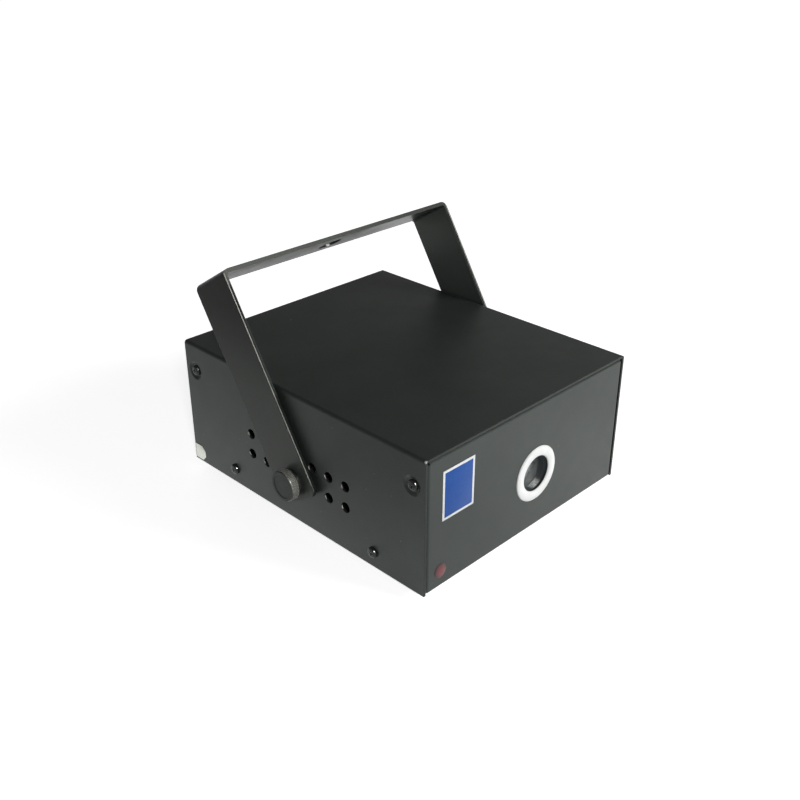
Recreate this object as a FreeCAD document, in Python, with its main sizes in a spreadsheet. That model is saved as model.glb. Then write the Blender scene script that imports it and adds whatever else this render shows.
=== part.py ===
"""Laser show projector: a folded sheet housing with a tilting yoke and an optical bench inside.

Millimetres. The origin is on the resting plane, in the middle of the overall outline, rear knob
included. The front faces -Y, +X is to the right as seen from the front and +Z is up.
"""
import FreeCAD, Part
import math
import os
import re

import Sketcher
from FreeCAD import Rotation, Vector

SIZES = {
    # Housing sheets
    "housing_width": 144.0,
    "housing_depth": 171.0,
    "housing_height": 70.0,
    "front_reach": 90.2,
    "sheet": 1.2,
    "bend_radius": 0.4,
    "fold_gap": 0.3,
    "side_flange_depth": 15.0,
    "top_flange_depth": 10.0,
    "floor_flange_height": 16.0,
    "corner_notch": 1.4,
    # Allowances shared by every piece
    "overrun": 5.0,
    "fit_gap": 0.08,
    "running_gap": 0.3,
    # Feet
    "foot_height": 3.0,
    "foot_radius": 6.0,
    "foot_taper": 1.0,
    "foot_round": 0.8,
    "foot_inset": 18.0,
    # Side vents
    "vent_radius": 2.75,
    "vent_pitch": 11.5,
    "vent_row_pitch": 11.3,
    "vent_from_front": 50.1,
    "vent_height": 23.9,
    # Cover screws and the dimples that the upper ones sit in
    "dimple_radius": 5.0,
    "dimple_floor_radius": 3.4,
    "dimple_depth": 1.1,
    "upper_screw_inset": 7.6,
    "upper_screw_height": 55.0,
    "lower_screw_from_front": 32.0,
    "lower_screw_from_rear": 36.0,
    "lower_screw_height": 8.1,
    "screw_radius": 1.5,
    "screw_head_radius": 2.8,
    "screw_head_height": 1.7,
    "screw_head_round": 1.0,
    "cover_screw_length": 9.0,
    "nut_radius": 3.2,
    "nut_height": 2.6,
    # Yoke bracket and its pivots
    "pivot_from_front": 83.3,
    "pivot_height": 25.0,
    "spacer_length": 2.2,
    "spacer_radius": 6.0,
    "bracket_lean": 31.8,
    "bracket_reach": 104.5,
    "bracket_width": 27.6,
    "bracket_bar": 2.0,
    "bracket_bend": 1.5,
    "bracket_tail": 9.5,
    "bracket_corner": 4.0,
    "hanging_hole_radius": 6.5,
    "thumb_shank_radius": 2.0,
    "thumb_shank_length": 14.0,
    "thumb_collar_radius": 4.6,
    "thumb_collar_height": 0.6,
    "thumb_head_radius": 8.0,
    "thumb_head_height": 4.6,
    "thumb_chamfer": 0.7,
    "washer_radius": 6.0,
    "washer_height": 1.0,
    "pivot_nut_radius": 5.0,
    "pivot_nut_height": 5.0,
    # Aperture
    "aperture_right": 4.7,
    "aperture_height": 30.5,
    "aperture_radius": 9.25,
    "bezel_radius": 14.4,
    "bezel_height": 0.6,
    "tube_wall": 3.2,
    "tube_flange_radius": 16.0,
    "tube_flange_height": 1.2,
    "glass_depth": 3.4,
    "glass_radius": 10.6,
    "glass_height": 2.0,
    "retainer_wall": 2.2,
    "retainer_height": 1.8,
    # Indicator lens
    "indicator_from_left": 10.5,
    "indicator_height": 9.0,
    "indicator_radius": 3.7,
    "indicator_rim": 0.9,
    "indicator_stem_radius": 2.9,
    "indicator_stem_length": 5.0,
    # Optical bench
    "bench_width": 94.0,
    "bench_length": 80.0,
    "bench_right_margin": 10.7,
    "bench_from_front": 27.5,
    "bench_plate": 3.0,
    "bench_corner": 4.0,
    "bench_standoff": 8.0,
    "bench_screw_inset": 5.0,
    "standoff_radius": 3.2,
    "bench_screw_length": 7.0,
    # Laser modules in finned blocks
    "laser_radius": 6.0,
    "laser_length": 35.0,
    "laser_nose_radius": 4.2,
    "laser_nose_length": 3.0,
    "laser_lens_radius": 2.2,
    "laser_lens_depth": 1.2,
    "laser_cap_radius": 4.8,
    "laser_cap_length": 4.0,
    "laser_standoff": 11.0,
    "block_setback": 9.0,
    "block_width": 24.0,
    "block_length": 20.0,
    "block_top": 13.0,
    "fin_depth": 5.0,
    # Beam combiner
    "combiner_from_front": 57.0,
    "combiner_plate": 1.1,
    "combiner_width": 15.0,
    "combiner_reach": 7.0,
    "combiner_slot": 3.0,
    "combiner_base": 13.0,
    # Gobo wheel and its motor
    "wheel_radius": 22.0,
    "wheel_plate": 1.5,
    "wheel_from_front": 23.0,
    "wheel_pattern_radius": 15.0,
    "grating_hole_radius": 4.4,
    "grating_radius": 5.3,
    "grating_height": 0.8,
    "hub_radius": 4.5,
    "hub_length": 4.0,
    "shaft_radius": 1.0,
    "motor_shaft_depth": 6.0,
    "motor_boss_radius": 3.0,
    "motor_radius": 10.0,
    "motor_length": 14.0,
    "motor_round": 1.0,
    "motor_plate": 1.5,
    "motor_plate_width": 22.0,
    "motor_plate_foot": 12.0,
    "motor_plate_top": 12.0,
    # Fan in the rear panel
    "fan_from_side": 32.0,
    "fan_height": 36.0,
    "fan_side": 40.0,
    "fan_depth": 10.0,
    "fan_corner": 3.0,
    "fan_bore_radius": 18.8,
    "fan_tip_gap": 0.8,
    "fan_hub_radius": 8.5,
    "fan_hub_height": 6.0,
    "fan_hub_round": 1.0,
    "fan_web": 1.8,
    "fan_strut_width": 2.6,
    "fan_axle_radius": 1.0,
    "fan_blade_chord": 6.6,
    "fan_blade_thickness": 0.9,
    "fan_blade_pitch": 38.0,
    "fan_screw_spacing": 32.0,
    "fan_screw_length": 11.0,
    "guard_wire_radius": 0.8,
    "guard_outer_radius": 18.2,
    "guard_ring_step": 5.6,
    "guard_eye_radius": 3.3,
    "guard_lift": 0.2,
    "guard_ring_rise": 1.0,
    # Power switch in the rear panel
    "switch_right": 48.0,
    "switch_height": 50.0,
    "switch_flange_width": 15.0,
    "switch_flange_height": 21.0,
    "switch_flange": 1.8,
    "switch_body_width": 12.8,
    "switch_body_height": 18.8,
    "switch_body_depth": 13.0,
    "switch_well_depth": 8.0,
    "rocker_width": 9.6,
    "rocker_half_height": 7.4,
    "rocker_gap": 0.5,
    "rocker_rise": 3.4,
    "rocker_valley": 2.0,
    "rocker_belly": 2.6,
    "rocker_belly_half_height": 5.6,
    "rocker_tilt": 8.0,
    "rocker_pin_radius": 1.0,
    "rocker_pin_engagement": 0.9,
    # Sensitivity control in the rear panel
    "control_right": 14.0,
    "control_height": 26.0,
    "control_body_radius": 8.0,
    "control_body_depth": 9.0,
    "control_bush_radius": 3.6,
    "control_bush_length": 3.4,
    "control_shaft_radius": 2.4,
    "control_shaft_depth": 6.0,
    "control_nut_radius": 5.8,
    "control_nut_height": 2.0,
    "knob_radius": 7.5,
    "knob_length": 9.5,
    "knob_taper": 0.8,
    "knob_round": 0.8,
    "knob_cavity_radius": 6.4,
    "knob_cavity_depth": 3.4,
    "knob_grip_depth": 8.0,
    "knob_lift": 0.8,
    # Mode button in the rear panel
    "button_right": 14.0,
    "button_height": 50.0,
    "button_flange_radius": 6.5,
    "button_flange": 2.0,
    "button_barrel_radius": 5.0,
    "button_barrel_length": 14.0,
    "button_well_depth": 9.0,
    "button_radius": 3.4,
    "button_length": 8.5,
    "button_round": 0.5,
    "button_travel": 1.5,
    "button_nut_radius": 7.5,
    "button_nut_height": 2.0,
    # Power inlet in the rear panel
    "inlet_right": 48.0,
    "inlet_height": 22.0,
    "inlet_flange_radius": 7.0,
    "inlet_flange": 1.6,
    "inlet_barrel_radius": 5.6,
    "inlet_barrel_length": 15.0,
    "inlet_bore_radius": 3.1,
    "inlet_bore_depth": 10.0,
    "inlet_pin_radius": 1.05,
    "inlet_pin_setback": 0.8,
    "inlet_nut_radius": 8.0,
    "inlet_nut_height": 2.2,
    # Microphone behind the rear panel
    "microphone_right": 31.0,
    "microphone_height": 37.0,
    "microphone_radius": 4.8,
    "microphone_length": 6.5,
    "microphone_hole_radius": 1.5,
    # Driver board
    "board_width": 100.0,
    "board_length": 28.0,
    "board_plate": 1.6,
    "board_from_bench": 9.0,
    "board_standoff": 6.0,
    "board_screw_inset": 4.0,
    "board_screw_length": 5.0,
    "capacitor_radius": 4.0,
    "capacitor_length": 12.0,
    "capacitor_round": 0.6,
    "capacitor_pitch": 9.5,
    "connector_width": 9.0,
    "connector_length": 6.0,
    "connector_height": 7.0,
    "connector_wall": 1.0,
    "connector_pitch": 12.0,
    "sink_width": 26.0,
    "sink_length": 12.0,
    "sink_height": 18.0,
    "sink_base": 3.0,
}

VENT_COLUMNS = 7
PIVOT_COLUMN = 3
VENT_ROWS = 2
GRATINGS = 8
FAN_BLADES = 7
FAN_STRUTS = 4
GUARD_RINGS = 3
CAPACITORS = 3
CONNECTORS = 4
BLOCK_FINS = 5
SINK_FINS = 6

# Share of a blade step that keeps the first blade off the hub's seam
BLADE_START_SHARE = 0.5

# Shares of the board's width, from its middle, where its components start
CAPACITOR_START_SHARE = 0.34
CONNECTOR_START_SHARE = -0.36
SINK_SHARE = -0.22

SIDES = (-1, 1)
CORNERS = [(side, end) for side in SIDES for end in SIDES]

# Places that several pieces share
FLOOR = "(foot_height)"
DECK = "(foot_height + sheet)"
TOP = "(foot_height + housing_height)"
SIDE = "(housing_width / 2)"
FRONT = "(-front_reach)"
REAR = "(housing_depth - front_reach)"
FRONT_INSIDE = f"({FRONT} + sheet)"
REAR_INSIDE = f"({REAR} - sheet)"
TRAY_START = "(sheet + fold_gap)"
TRAY_SIDE = f"({SIDE} - {TRAY_START})"
TRAY_TOP = f"({TOP} - {TRAY_START})"
PIVOT_Y = f"({FRONT} + pivot_from_front)"
PIVOT_Z = f"({FLOOR} + pivot_height)"
ARM_INSIDE = f"({SIDE} + spacer_length)"
ARM_OUTSIDE = f"({ARM_INSIDE} + bracket_bar)"
APERTURE_X = "(aperture_right)"
BEAM_Z = f"({FLOOR} + aperture_height)"
WHEEL_X = f"({APERTURE_X} + wheel_pattern_radius)"
BENCH_RIGHT = f"({WHEEL_X} + motor_plate_width / 2 + bench_right_margin)"
BENCH_X = f"({BENCH_RIGHT} - bench_width / 2)"
BENCH_FRONT = f"({FRONT} + bench_from_front)"
BENCH_BACK = f"({BENCH_FRONT} + bench_length)"
BENCH_UNDER = f"({DECK} + bench_standoff)"
BENCH_TOP = f"({BENCH_UNDER} + bench_plate)"
COMBINER_Y = f"({FRONT} + combiner_from_front)"
WHEEL_FRONT = f"({FRONT} + wheel_from_front)"
WHEEL_BACK = f"({WHEEL_FRONT} + wheel_plate)"
HUB_BACK = f"({WHEEL_BACK} + hub_length)"
MOTOR_PLATE_FRONT = f"({HUB_BACK} + running_gap)"
MOTOR_FACE = f"({MOTOR_PLATE_FRONT} + motor_plate)"
FAN_X = f"(fan_from_side - {SIDE})"
FAN_Z = f"({FLOOR} + fan_height)"
SWITCH_Z = f"({FLOOR} + switch_height)"
CONTROL_Z = f"({FLOOR} + control_height)"
BUTTON_Z = f"({FLOOR} + button_height)"
INLET_Z = f"({FLOOR} + inlet_height)"
MICROPHONE_Z = f"({FLOOR} + microphone_height)"
BOARD_FRONT = f"({BENCH_BACK} + board_from_bench)"
BOARD_Y = f"({BOARD_FRONT} + board_length / 2)"
BOARD_UNDER = f"({DECK} + board_standoff)"
BOARD_TOP = f"({BOARD_UNDER} + board_plate)"

PLANE_ROLES = {"x": "YZ_Plane", "y": "XZ_Plane", "z": "XY_Plane"}
DIRECTIONS = {
    "+x": Vector(1, 0, 0),
    "-x": Vector(-1, 0, 0),
    "+y": Vector(0, 1, 0),
    "-y": Vector(0, -1, 0),
    "+z": Vector(0, 0, 1),
}

doc = FreeCAD.newDocument("laser_show_projector")
sizes = doc.addObject("Spreadsheet::Sheet", "Sizes")


def fill_sizes():
    """Write each driving dimension into its own cell, with its name as the alias."""
    for row, (name, value) in enumerate(SIZES.items(), start=1):
        sizes.set(f"A{row}", name)
        sizes.set(f"B{row}", str(value))
        sizes.setAlias(f"B{row}", name)
    doc.recompute()


def qualified(expression):
    """Point each size's name in an expression at its cell."""
    def cell(word):
        return f"Sizes.{word[0]}" if word[0] in SIZES else word[0]

    return re.sub(r"[A-Za-z_]\w*", cell, str(expression))


def bind(item, path, expression):
    item.setExpression(path, qualified(expression))


def number(expression):
    return float(sizes.evalExpression(qualified(expression)))


def put(item, place, rotation=Rotation()):
    """Place an item by three expressions and a rotation."""
    item.Placement = FreeCAD.Placement(Vector(), rotation)
    for axis, expression in zip("xyz", place):
        bind(item, f"Placement.Base.{axis}", expression)
    return item


def box(name, x, y, z):
    """A block between two expressions on each axis."""
    block = doc.addObject("Part::Box", name)
    put(block, (x[0], y[0], z[0]))
    for side, (low, high) in zip(("Length", "Width", "Height"), (x, y, z)):
        bind(block, side, f"({high}) - ({low})")
    return block


def rod(name, direction, start, length, radius):
    """A cylinder from a start point along a direction."""
    cylinder = doc.addObject("Part::Cylinder", name)
    bind(cylinder, "Radius", radius)
    bind(cylinder, "Height", length)
    return put(cylinder, start, Rotation(Vector(0, 0, 1), DIRECTIONS[direction]))


def cut(name, base, tools):
    result = doc.addObject("Part::Cut", name)
    result.Base = base
    result.Tool = tools[0] if len(tools) == 1 else fuse(f"{name}_cuts", tools)
    return result


def fuse(name, pieces):
    result = doc.addObject("Part::MultiFuse", name)
    result.Shapes = pieces
    return result


def group(name, pieces):
    """Identical pieces kept as separate solids under one name."""
    result = doc.addObject("Part::Compound", name)
    result.Links = pieces
    return result


def add_sketch(body, axis, offset="0"):
    """A sketch on the body's own plane across an axis, moved along the plane's normal."""
    sketch = body.newObject("Sketcher::SketchObject", f"{body.Name}_sketch")
    features = body.Origin.OriginFeatures
    plane = next(item for item in features if item.Role == PLANE_ROLES[axis])
    sketch.AttachmentSupport = (plane, "")
    sketch.MapMode = "FlatFace"
    bind(sketch, "AttachmentOffset.Base.z", offset)
    return sketch


def hold_point(sketch, curve, point, place):
    """Tie a sketch point to two expressions."""
    for kind, expression in zip(("DistanceX", "DistanceY"), place):
        value = number(expression)
        index = sketch.addConstraint(Sketcher.Constraint(kind, curve, point, value))
        bind(sketch, f"Constraints[{index}]", expression)


def corner_arc(before, here, after, radius):
    """The arc that rounds a corner, with its ends on the line before and the line after."""
    back = (before - here).normalize()
    ahead = (after - here).normalize()
    half = back.getAngle(ahead) / 2
    reach = radius / math.tan(half)
    centre = here + (back + ahead).normalize() * (radius / math.sin(half))
    leave, join = here + back * reach, here + ahead * reach
    turns_left = (here - before).cross(after - here).z > 0
    first, last = (leave, join) if turns_left else (join, leave)
    start, stop = (math.atan2(p.y - centre.y, p.x - centre.x) for p in (first, last))
    stop += 2 * math.pi * (stop < start)
    circle = Part.Circle(centre, Vector(0, 0, 1), radius)
    return Part.ArcOfCircle(circle, start, stop), leave, join, turns_left


def draw_outline(sketch, corners):
    """Draw a closed outline through corners (x, y) or (x, y, radius), each tied to its sizes."""
    points = [Vector(number(corner[0]), number(corner[1]), 0) for corner in corners]
    count = len(corners)
    rounds, leaves, joins = {}, list(points), list(points)
    for i, corner in enumerate(corners):
        if len(corner) == 3:
            around = points[i - 1], points[i], points[(i + 1) % count]
            arc, leaves[i], joins[i], turns_left = corner_arc(*around, number(corner[2]))
            rounds[i] = arc, turns_left
    lines = []
    for i in range(count):
        line = Part.LineSegment(joins[i], leaves[(i + 1) % count])
        lines.append(sketch.addGeometry(line, False))
    for i, corner in enumerate(corners):
        before, after = lines[i - 1], lines[i]
        if i not in rounds:
            sketch.addConstraint(Sketcher.Constraint("Coincident", before, 2, after, 1))
            hold_point(sketch, after, 1, corner)
            continue
        arc = sketch.addGeometry(rounds[i][0], False)
        first, last = (1, 2) if rounds[i][1] else (2, 1)
        sketch.addConstraint(Sketcher.Constraint("Tangent", before, 2, arc, first))
        sketch.addConstraint(Sketcher.Constraint("Tangent", arc, last, after, 1))
        index = sketch.addConstraint(Sketcher.Constraint("Radius", arc, number(corner[2])))
        bind(sketch, f"Constraints[{index}]", corner[2])
        tip = sketch.addGeometry(Part.Point(points[i]), True)
        for line in (before, after):
            sketch.addConstraint(Sketcher.Constraint("PointOnObject", tip, 1, line))
        hold_point(sketch, tip, 1, corner[:2])


def draw_circle(sketch, x, y, radius):
    circle = Part.Circle(Vector(number(x), number(y), 0), Vector(0, 0, 1), number(radius))
    curve = sketch.addGeometry(circle, False)
    hold_point(sketch, curve, 3, (x, y))
    index = sketch.addConstraint(Sketcher.Constraint("Radius", curve, number(radius)))
    bind(sketch, f"Constraints[{index}]", radius)


def extrude(name, axis, corners, low, high):
    """A body whose outline runs from low to high along an axis."""
    body = doc.addObject("PartDesign::Body", name)
    # The plane across Y faces -Y, so its sketch starts at the far end.
    sketch = add_sketch(body, axis, f"-({high})" if axis == "y" else low)
    draw_outline(sketch, corners)
    pad = body.newObject("PartDesign::Pad", f"{name}_pad")
    pad.Profile = sketch
    bind(pad, "Length", f"({high}) - ({low})")
    return body


def bore(body, axis, x, y, radius):
    """Cut a round hole right through a body along an axis."""
    sketch = add_sketch(body, axis)
    draw_circle(sketch, x, y, radius)
    pocket = body.newObject("PartDesign::Pocket", f"{body.Name}_bore")
    pocket.Profile = sketch
    pocket.Type = "ThroughAll"
    pocket.SideType = "Symmetric"
    return pocket


def turn(name, direction, start, corners):
    """A body turned from an outline of (radius, distance along the axis)."""
    body = doc.addObject("PartDesign::Body", name)
    sketch = add_sketch(body, "y")
    draw_outline(sketch, corners)
    revolution = body.newObject("PartDesign::Revolution", f"{name}_turning")
    revolution.Profile = sketch
    revolution.ReferenceAxis = (sketch, ["V_Axis"])
    return put(body, start, Rotation(Vector(0, 0, 1), DIRECTIONS[direction]))


def ring(name, direction, start, inner, outer, height):
    corners = [(inner, "0"), (outer, "0"), (outer, height), (inner, height)]
    return turn(name, direction, start, corners)


def pan_screw(name, direction, seat, length):
    """A pan-head screw whose head sits on the seat and points along the direction."""
    corners = [
        ("0", f"-({length})"),
        ("screw_radius", f"-({length})"),
        ("screw_radius", "0"),
        ("screw_head_radius", "0"),
        ("screw_head_radius", "screw_head_height", "screw_head_round"),
        ("0", "screw_head_height"),
    ]
    return turn(name, direction, seat, corners)


def rectangle(x_low, x_high, y_low, y_high, radius=None):
    corners = [(x_low, y_low), (x_high, y_low), (x_high, y_high), (x_low, y_high)]
    return [corner + (radius,) for corner in corners] if radius else corners


def comb(middle, width, low, high, fin_depth, fins):
    """A block outline whose top edge is cut into fins."""
    left = f"({middle} - {width} / 2)"
    step = f"({width} / {2 * fins - 1})"
    corners = [(left, low), (f"{left} + {width}", low)]
    for fin in reversed(range(fins)):
        for edge in (2 * fin + 1, 2 * fin):
            ends = (high, f"{high} - {fin_depth}")
            near, far = ends if edge % 2 == 0 else reversed(ends)
            along = f"{left} + {edge} * {step}"
            corners += [(along, far), (along, near)]
    # The first and last fins stand on the block's own sides.
    return corners[:2] + corners[3:-1]


def outward(side):
    return "+x" if side > 0 else "-x"


def inward(side):
    return "-x" if side > 0 else "+x"


def screw_end(end, from_front, from_rear):
    return f"({FRONT} + {from_front})" if end < 0 else f"({REAR} - {from_rear})"


def dimple_cone(name, side, end, start):
    """The tapered form of a pressed dimple, starting at a depth inside the cover's outer face."""
    cone = doc.addObject("Part::Cone", name)
    bind(cone, "Radius1", "dimple_radius")
    bind(cone, "Radius2", "dimple_floor_radius")
    bind(cone, "Height", "dimple_depth")
    place = (
        f"{side} * ({SIDE} - ({start}))",
        screw_end(end, "upper_screw_inset", "upper_screw_inset"),
        f"{FLOOR} + upper_screw_height",
    )
    return put(cone, place, Rotation(Vector(0, 0, 1), DIRECTIONS[inward(side)]))


def press_dimples(name, plain, start):
    """Press the four upper screw dimples into a sheet; returns the sheet and the hollows to cut."""
    bosses, hollows = [], []
    for i, (side, end) in enumerate(CORNERS):
        bosses.append(dimple_cone(f"{name}_boss_{i}", side, end, f"{start} + sheet"))
        hollows.append(dimple_cone(f"{name}_hollow_{i}", side, end, start))
    return fuse(f"{name}_pressed", [plain] + bosses), hollows


def across(name, y, z, radius):
    """A drill that crosses both sides of the housing."""
    start = (f"-{SIDE} - overrun", y, z)
    return rod(name, "+x", start, "housing_width + 2 * overrun", radius)


def cover_screw_drills(name):
    """Clearance drills for the upper and lower cover screws, each through both sides."""
    radius = "screw_radius + fit_gap"
    drills = []
    for end in SIDES:
        upper = screw_end(end, "upper_screw_inset", "upper_screw_inset")
        lower = screw_end(end, "lower_screw_from_front", "lower_screw_from_rear")
        label = "front" if end < 0 else "rear"
        upper_z = f"{FLOOR} + upper_screw_height"
        lower_z = f"{FLOOR} + lower_screw_height"
        drills.append(across(f"{name}_upper_drill_{label}", upper, upper_z, radius))
        drills.append(across(f"{name}_lower_drill_{label}", lower, lower_z, radius))
    return drills


def through_panel(name, from_inside, x, z, radius):
    """A drill along Y through the front or the rear panel."""
    start = (x, f"{from_inside} - overrun", z)
    return rod(name, "+y", start, "2 * overrun", radius)


def fan_screw_places():
    spacing = "fan_screw_spacing / 2"
    return [(f"{FAN_X} + {i} * {spacing}", f"{FAN_Z} + {k} * {spacing}") for i, k in CORNERS]


def make_top_cover():
    """The inverted-U cover: top and two sides folded from one sheet."""
    outer_bend = "bend_radius + sheet"
    corners = [
        (f"-{SIDE}", FLOOR),
        (f"-{SIDE} + sheet", FLOOR),
        (f"-{SIDE} + sheet", f"{TOP} - sheet", "bend_radius"),
        (f"{SIDE} - sheet", f"{TOP} - sheet", "bend_radius"),
        (f"{SIDE} - sheet", FLOOR),
        (SIDE, FLOOR),
        (SIDE, TOP, outer_bend),
        (f"-{SIDE}", TOP, outer_bend),
    ]
    folded = extrude("cover_sheet", "y", corners, FRONT, REAR)
    pressed, cuts = press_dimples("cover", folded, "0")
    for column in range(VENT_COLUMNS):
        for row in range(VENT_ROWS):
            if column == PIVOT_COLUMN and row == 0:
                continue
            y = f"{FRONT} + vent_from_front + {column} * vent_pitch"
            z = f"{FLOOR} + vent_height + {row} * vent_row_pitch"
            cuts.append(across(f"vent_{column}_{row}", y, z, "vent_radius"))
    cuts.append(across("cover_pivot_hole", PIVOT_Y, PIVOT_Z, "thumb_shank_radius + fit_gap"))
    cuts += cover_screw_drills("cover")
    return [cut("top_cover", pressed, cuts)]


def rounded_block(name, inset, radius):
    """The tray's outer or inner form, with every edge rounded."""
    side = f"({TRAY_SIDE} - {inset})"
    plan = rectangle(f"-{side}", side, f"{FRONT} + {inset}", f"{REAR} - {inset}")
    block = extrude(name, "z", plan, f"{FLOOR} + {inset}", f"{TRAY_TOP} - {inset}")
    solid = block.Tip
    rounding = block.newObject("PartDesign::Fillet", f"{name}_bends")
    rounding.Base = (solid, [])
    rounding.UseAllEdges = True
    bind(rounding, "Radius", radius)
    return block


def make_base_chassis():
    """The folded tray: front, floor and rear, with flanges along its open edges."""
    outer = rounded_block("tray_outside", "0", "bend_radius + sheet")
    inner = rounded_block("tray_inside", "sheet", "bend_radius")
    shell = cut("tray_shell", outer, [inner])
    wide = (f"-{SIDE}", SIDE)
    above = f"{TOP} + overrun"
    windows = [
        box(
            "tray_top_opening",
            wide,
            (f"{FRONT} + top_flange_depth", f"{REAR} - top_flange_depth"),
            (f"{TRAY_TOP} - sheet - bend_radius", above),
        ),
        box(
            "tray_side_openings",
            wide,
            (f"{FRONT} + side_flange_depth", f"{REAR} - side_flange_depth"),
            (f"{FLOOR} + floor_flange_height", above),
        ),
    ]
    for i, (side, end) in enumerate(CORNERS):
        edge = f"{TRAY_SIDE} - corner_notch"
        x = (edge, SIDE) if side > 0 else (f"-{SIDE}", f"-({edge})")
        near = f"{REAR} - corner_notch" if end > 0 else f"{FRONT} - overrun"
        y = (near, f"{near} + corner_notch + overrun")
        z = (f"{TRAY_TOP} - corner_notch", above)
        windows.append(box(f"tray_corner_relief_{i}", x, y, z))
    tray = cut("tray_folded", shell, windows)
    pressed, cuts = press_dimples("tray", tray, TRAY_START)
    cuts += cover_screw_drills("tray")
    indicator_x = f"-{SIDE} + indicator_from_left"
    indicator_z = f"{FLOOR} + indicator_height"
    stem = "indicator_stem_radius + fit_gap"
    front, rear = FRONT_INSIDE, REAR_INSIDE
    cuts += [
        through_panel("aperture_hole", front, APERTURE_X, BEAM_Z, "aperture_radius"),
        through_panel("indicator_hole", front, indicator_x, indicator_z, stem),
        through_panel("fan_hole", rear, FAN_X, FAN_Z, "fan_bore_radius"),
        through_panel("control_hole", rear, "control_right", CONTROL_Z, "control_bush_radius + fit_gap"),
        through_panel("button_hole", rear, "button_right", BUTTON_Z, "button_barrel_radius + fit_gap"),
        through_panel("inlet_hole", rear, "inlet_right", INLET_Z, "inlet_barrel_radius + fit_gap"),
        through_panel("sound_hole", rear, "microphone_right", MICROPHONE_Z, "microphone_hole_radius"),
    ]
    for i, (x, z) in enumerate(fan_screw_places()):
        cuts.append(through_panel(f"fan_screw_hole_{i}", rear, x, z, "screw_radius + fit_gap"))
    half_width = "switch_body_width / 2 + fit_gap"
    half_height = "switch_body_height / 2 + fit_gap"
    x = (f"switch_right - ({half_width})", f"switch_right + {half_width}")
    z = (f"{SWITCH_Z} - ({half_height})", f"{SWITCH_Z} + {half_height}")
    cuts.append(box("switch_cutout", x, (f"{rear} - overrun", f"{REAR} + overrun"), z))
    return [cut("base_chassis", pressed, cuts)]


def make_cover_fasteners():
    """Screws through the cover into nuts pressed into the tray's flanges."""
    upper, lower, nuts = [], [], []
    tray_inside = f"({TRAY_START} + sheet)"
    for i, (side, end) in enumerate(CORNERS):
        upper_y = screw_end(end, "upper_screw_inset", "upper_screw_inset")
        upper_z = f"{FLOOR} + upper_screw_height"
        lower_y = screw_end(end, "lower_screw_from_front", "lower_screw_from_rear")
        lower_z = f"{FLOOR} + lower_screw_height"
        upper_seat = (f"{side} * ({SIDE} - dimple_depth)", upper_y, upper_z)
        lower_seat = (f"{side} * {SIDE}", lower_y, lower_z)
        out, length = outward(side), "cover_screw_length"
        upper.append(pan_screw(f"upper_screw_{i}", out, upper_seat, length))
        lower.append(pan_screw(f"lower_screw_{i}", out, lower_seat, length))
        upper_nut = (f"{side} * ({SIDE} - {tray_inside} - dimple_depth)", upper_y, upper_z)
        lower_nut = (f"{side} * ({SIDE} - {tray_inside})", lower_y, lower_z)
        for label, place in (("upper", upper_nut), ("lower", lower_nut)):
            sizes_of_nut = "screw_radius + fit_gap", "nut_radius", "nut_height"
            nuts.append(ring(f"{label}_nut_{i}", inward(side), place, *sizes_of_nut))
    return [
        group("upper_cover_screws", upper),
        group("lower_cover_screws", lower),
        group("cover_nuts", nuts),
    ]


def make_feet():
    """Four low rubber feet under the floor sheet."""
    foot = [
        ("0", "0"),
        ("foot_radius", "0"),
        ("foot_radius - foot_taper", "foot_height", "foot_round"),
        ("0", "foot_height"),
    ]
    feet = []
    for i, (side, end) in enumerate(CORNERS):
        place = (f"{side} * ({SIDE} - foot_inset)", screw_end(end, "foot_inset", "foot_inset"), FLOOR)
        body = turn(f"foot_{i}", "+z", place, foot)
        feet.append(put(body, place, Rotation(Vector(1, 0, 0), math.degrees(math.pi))))
    return [group("rubber_feet", feet)]


def make_bracket():
    """The yoke: a flat bar bent into a U, drawn upright about its pivot axis and then leaned back."""
    under = "bracket_reach - bracket_bar"
    outer_bend = "bracket_bend + bracket_bar"
    corners = [
        (f"-{ARM_OUTSIDE}", "-bracket_tail"),
        (f"-{ARM_INSIDE}", "-bracket_tail"),
        (f"-{ARM_INSIDE}", under, "bracket_bend"),
        (ARM_INSIDE, under, "bracket_bend"),
        (ARM_INSIDE, "-bracket_tail"),
        (ARM_OUTSIDE, "-bracket_tail"),
        (ARM_OUTSIDE, "bracket_reach", outer_bend),
        (f"-{ARM_OUTSIDE}", "bracket_reach", outer_bend),
    ]
    half = "bracket_width / 2"
    bracket = extrude("mounting_bracket", "y", corners, f"-{half}", half)
    bore(bracket, "x", "0", "0", "thumb_shank_radius + fit_gap")
    bore(bracket, "z", "0", "0", "hanging_hole_radius")
    doc.recompute()
    solid = bracket.Tip
    tail = number("-bracket_tail")
    names = []
    for i, edge in enumerate(solid.Shape.Edges, start=1):
        ends = [vertex.Point for vertex in edge.Vertexes]
        low = all(math.isclose(point.z, tail, abs_tol=Part.Precision.confusion()) for point in ends)
        if low and len(ends) == 2 and math.isclose(ends[0].y, ends[1].y):
            names.append(f"Edge{i}")
    rounding = bracket.newObject("PartDesign::Fillet", "mounting_bracket_rounding")
    rounding.Base = (solid, names)
    bind(rounding, "Radius", "bracket_corner")
    put(bracket, ("0", PIVOT_Y, PIVOT_Z), Rotation(Vector(1, 0, 0), -number("bracket_lean")))
    bind(bracket, "Placement.Rotation.Angle", "bracket_lean")
    bind(bracket, "Placement.Rotation.Axis.x", "-1")
    return [bracket]


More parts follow.
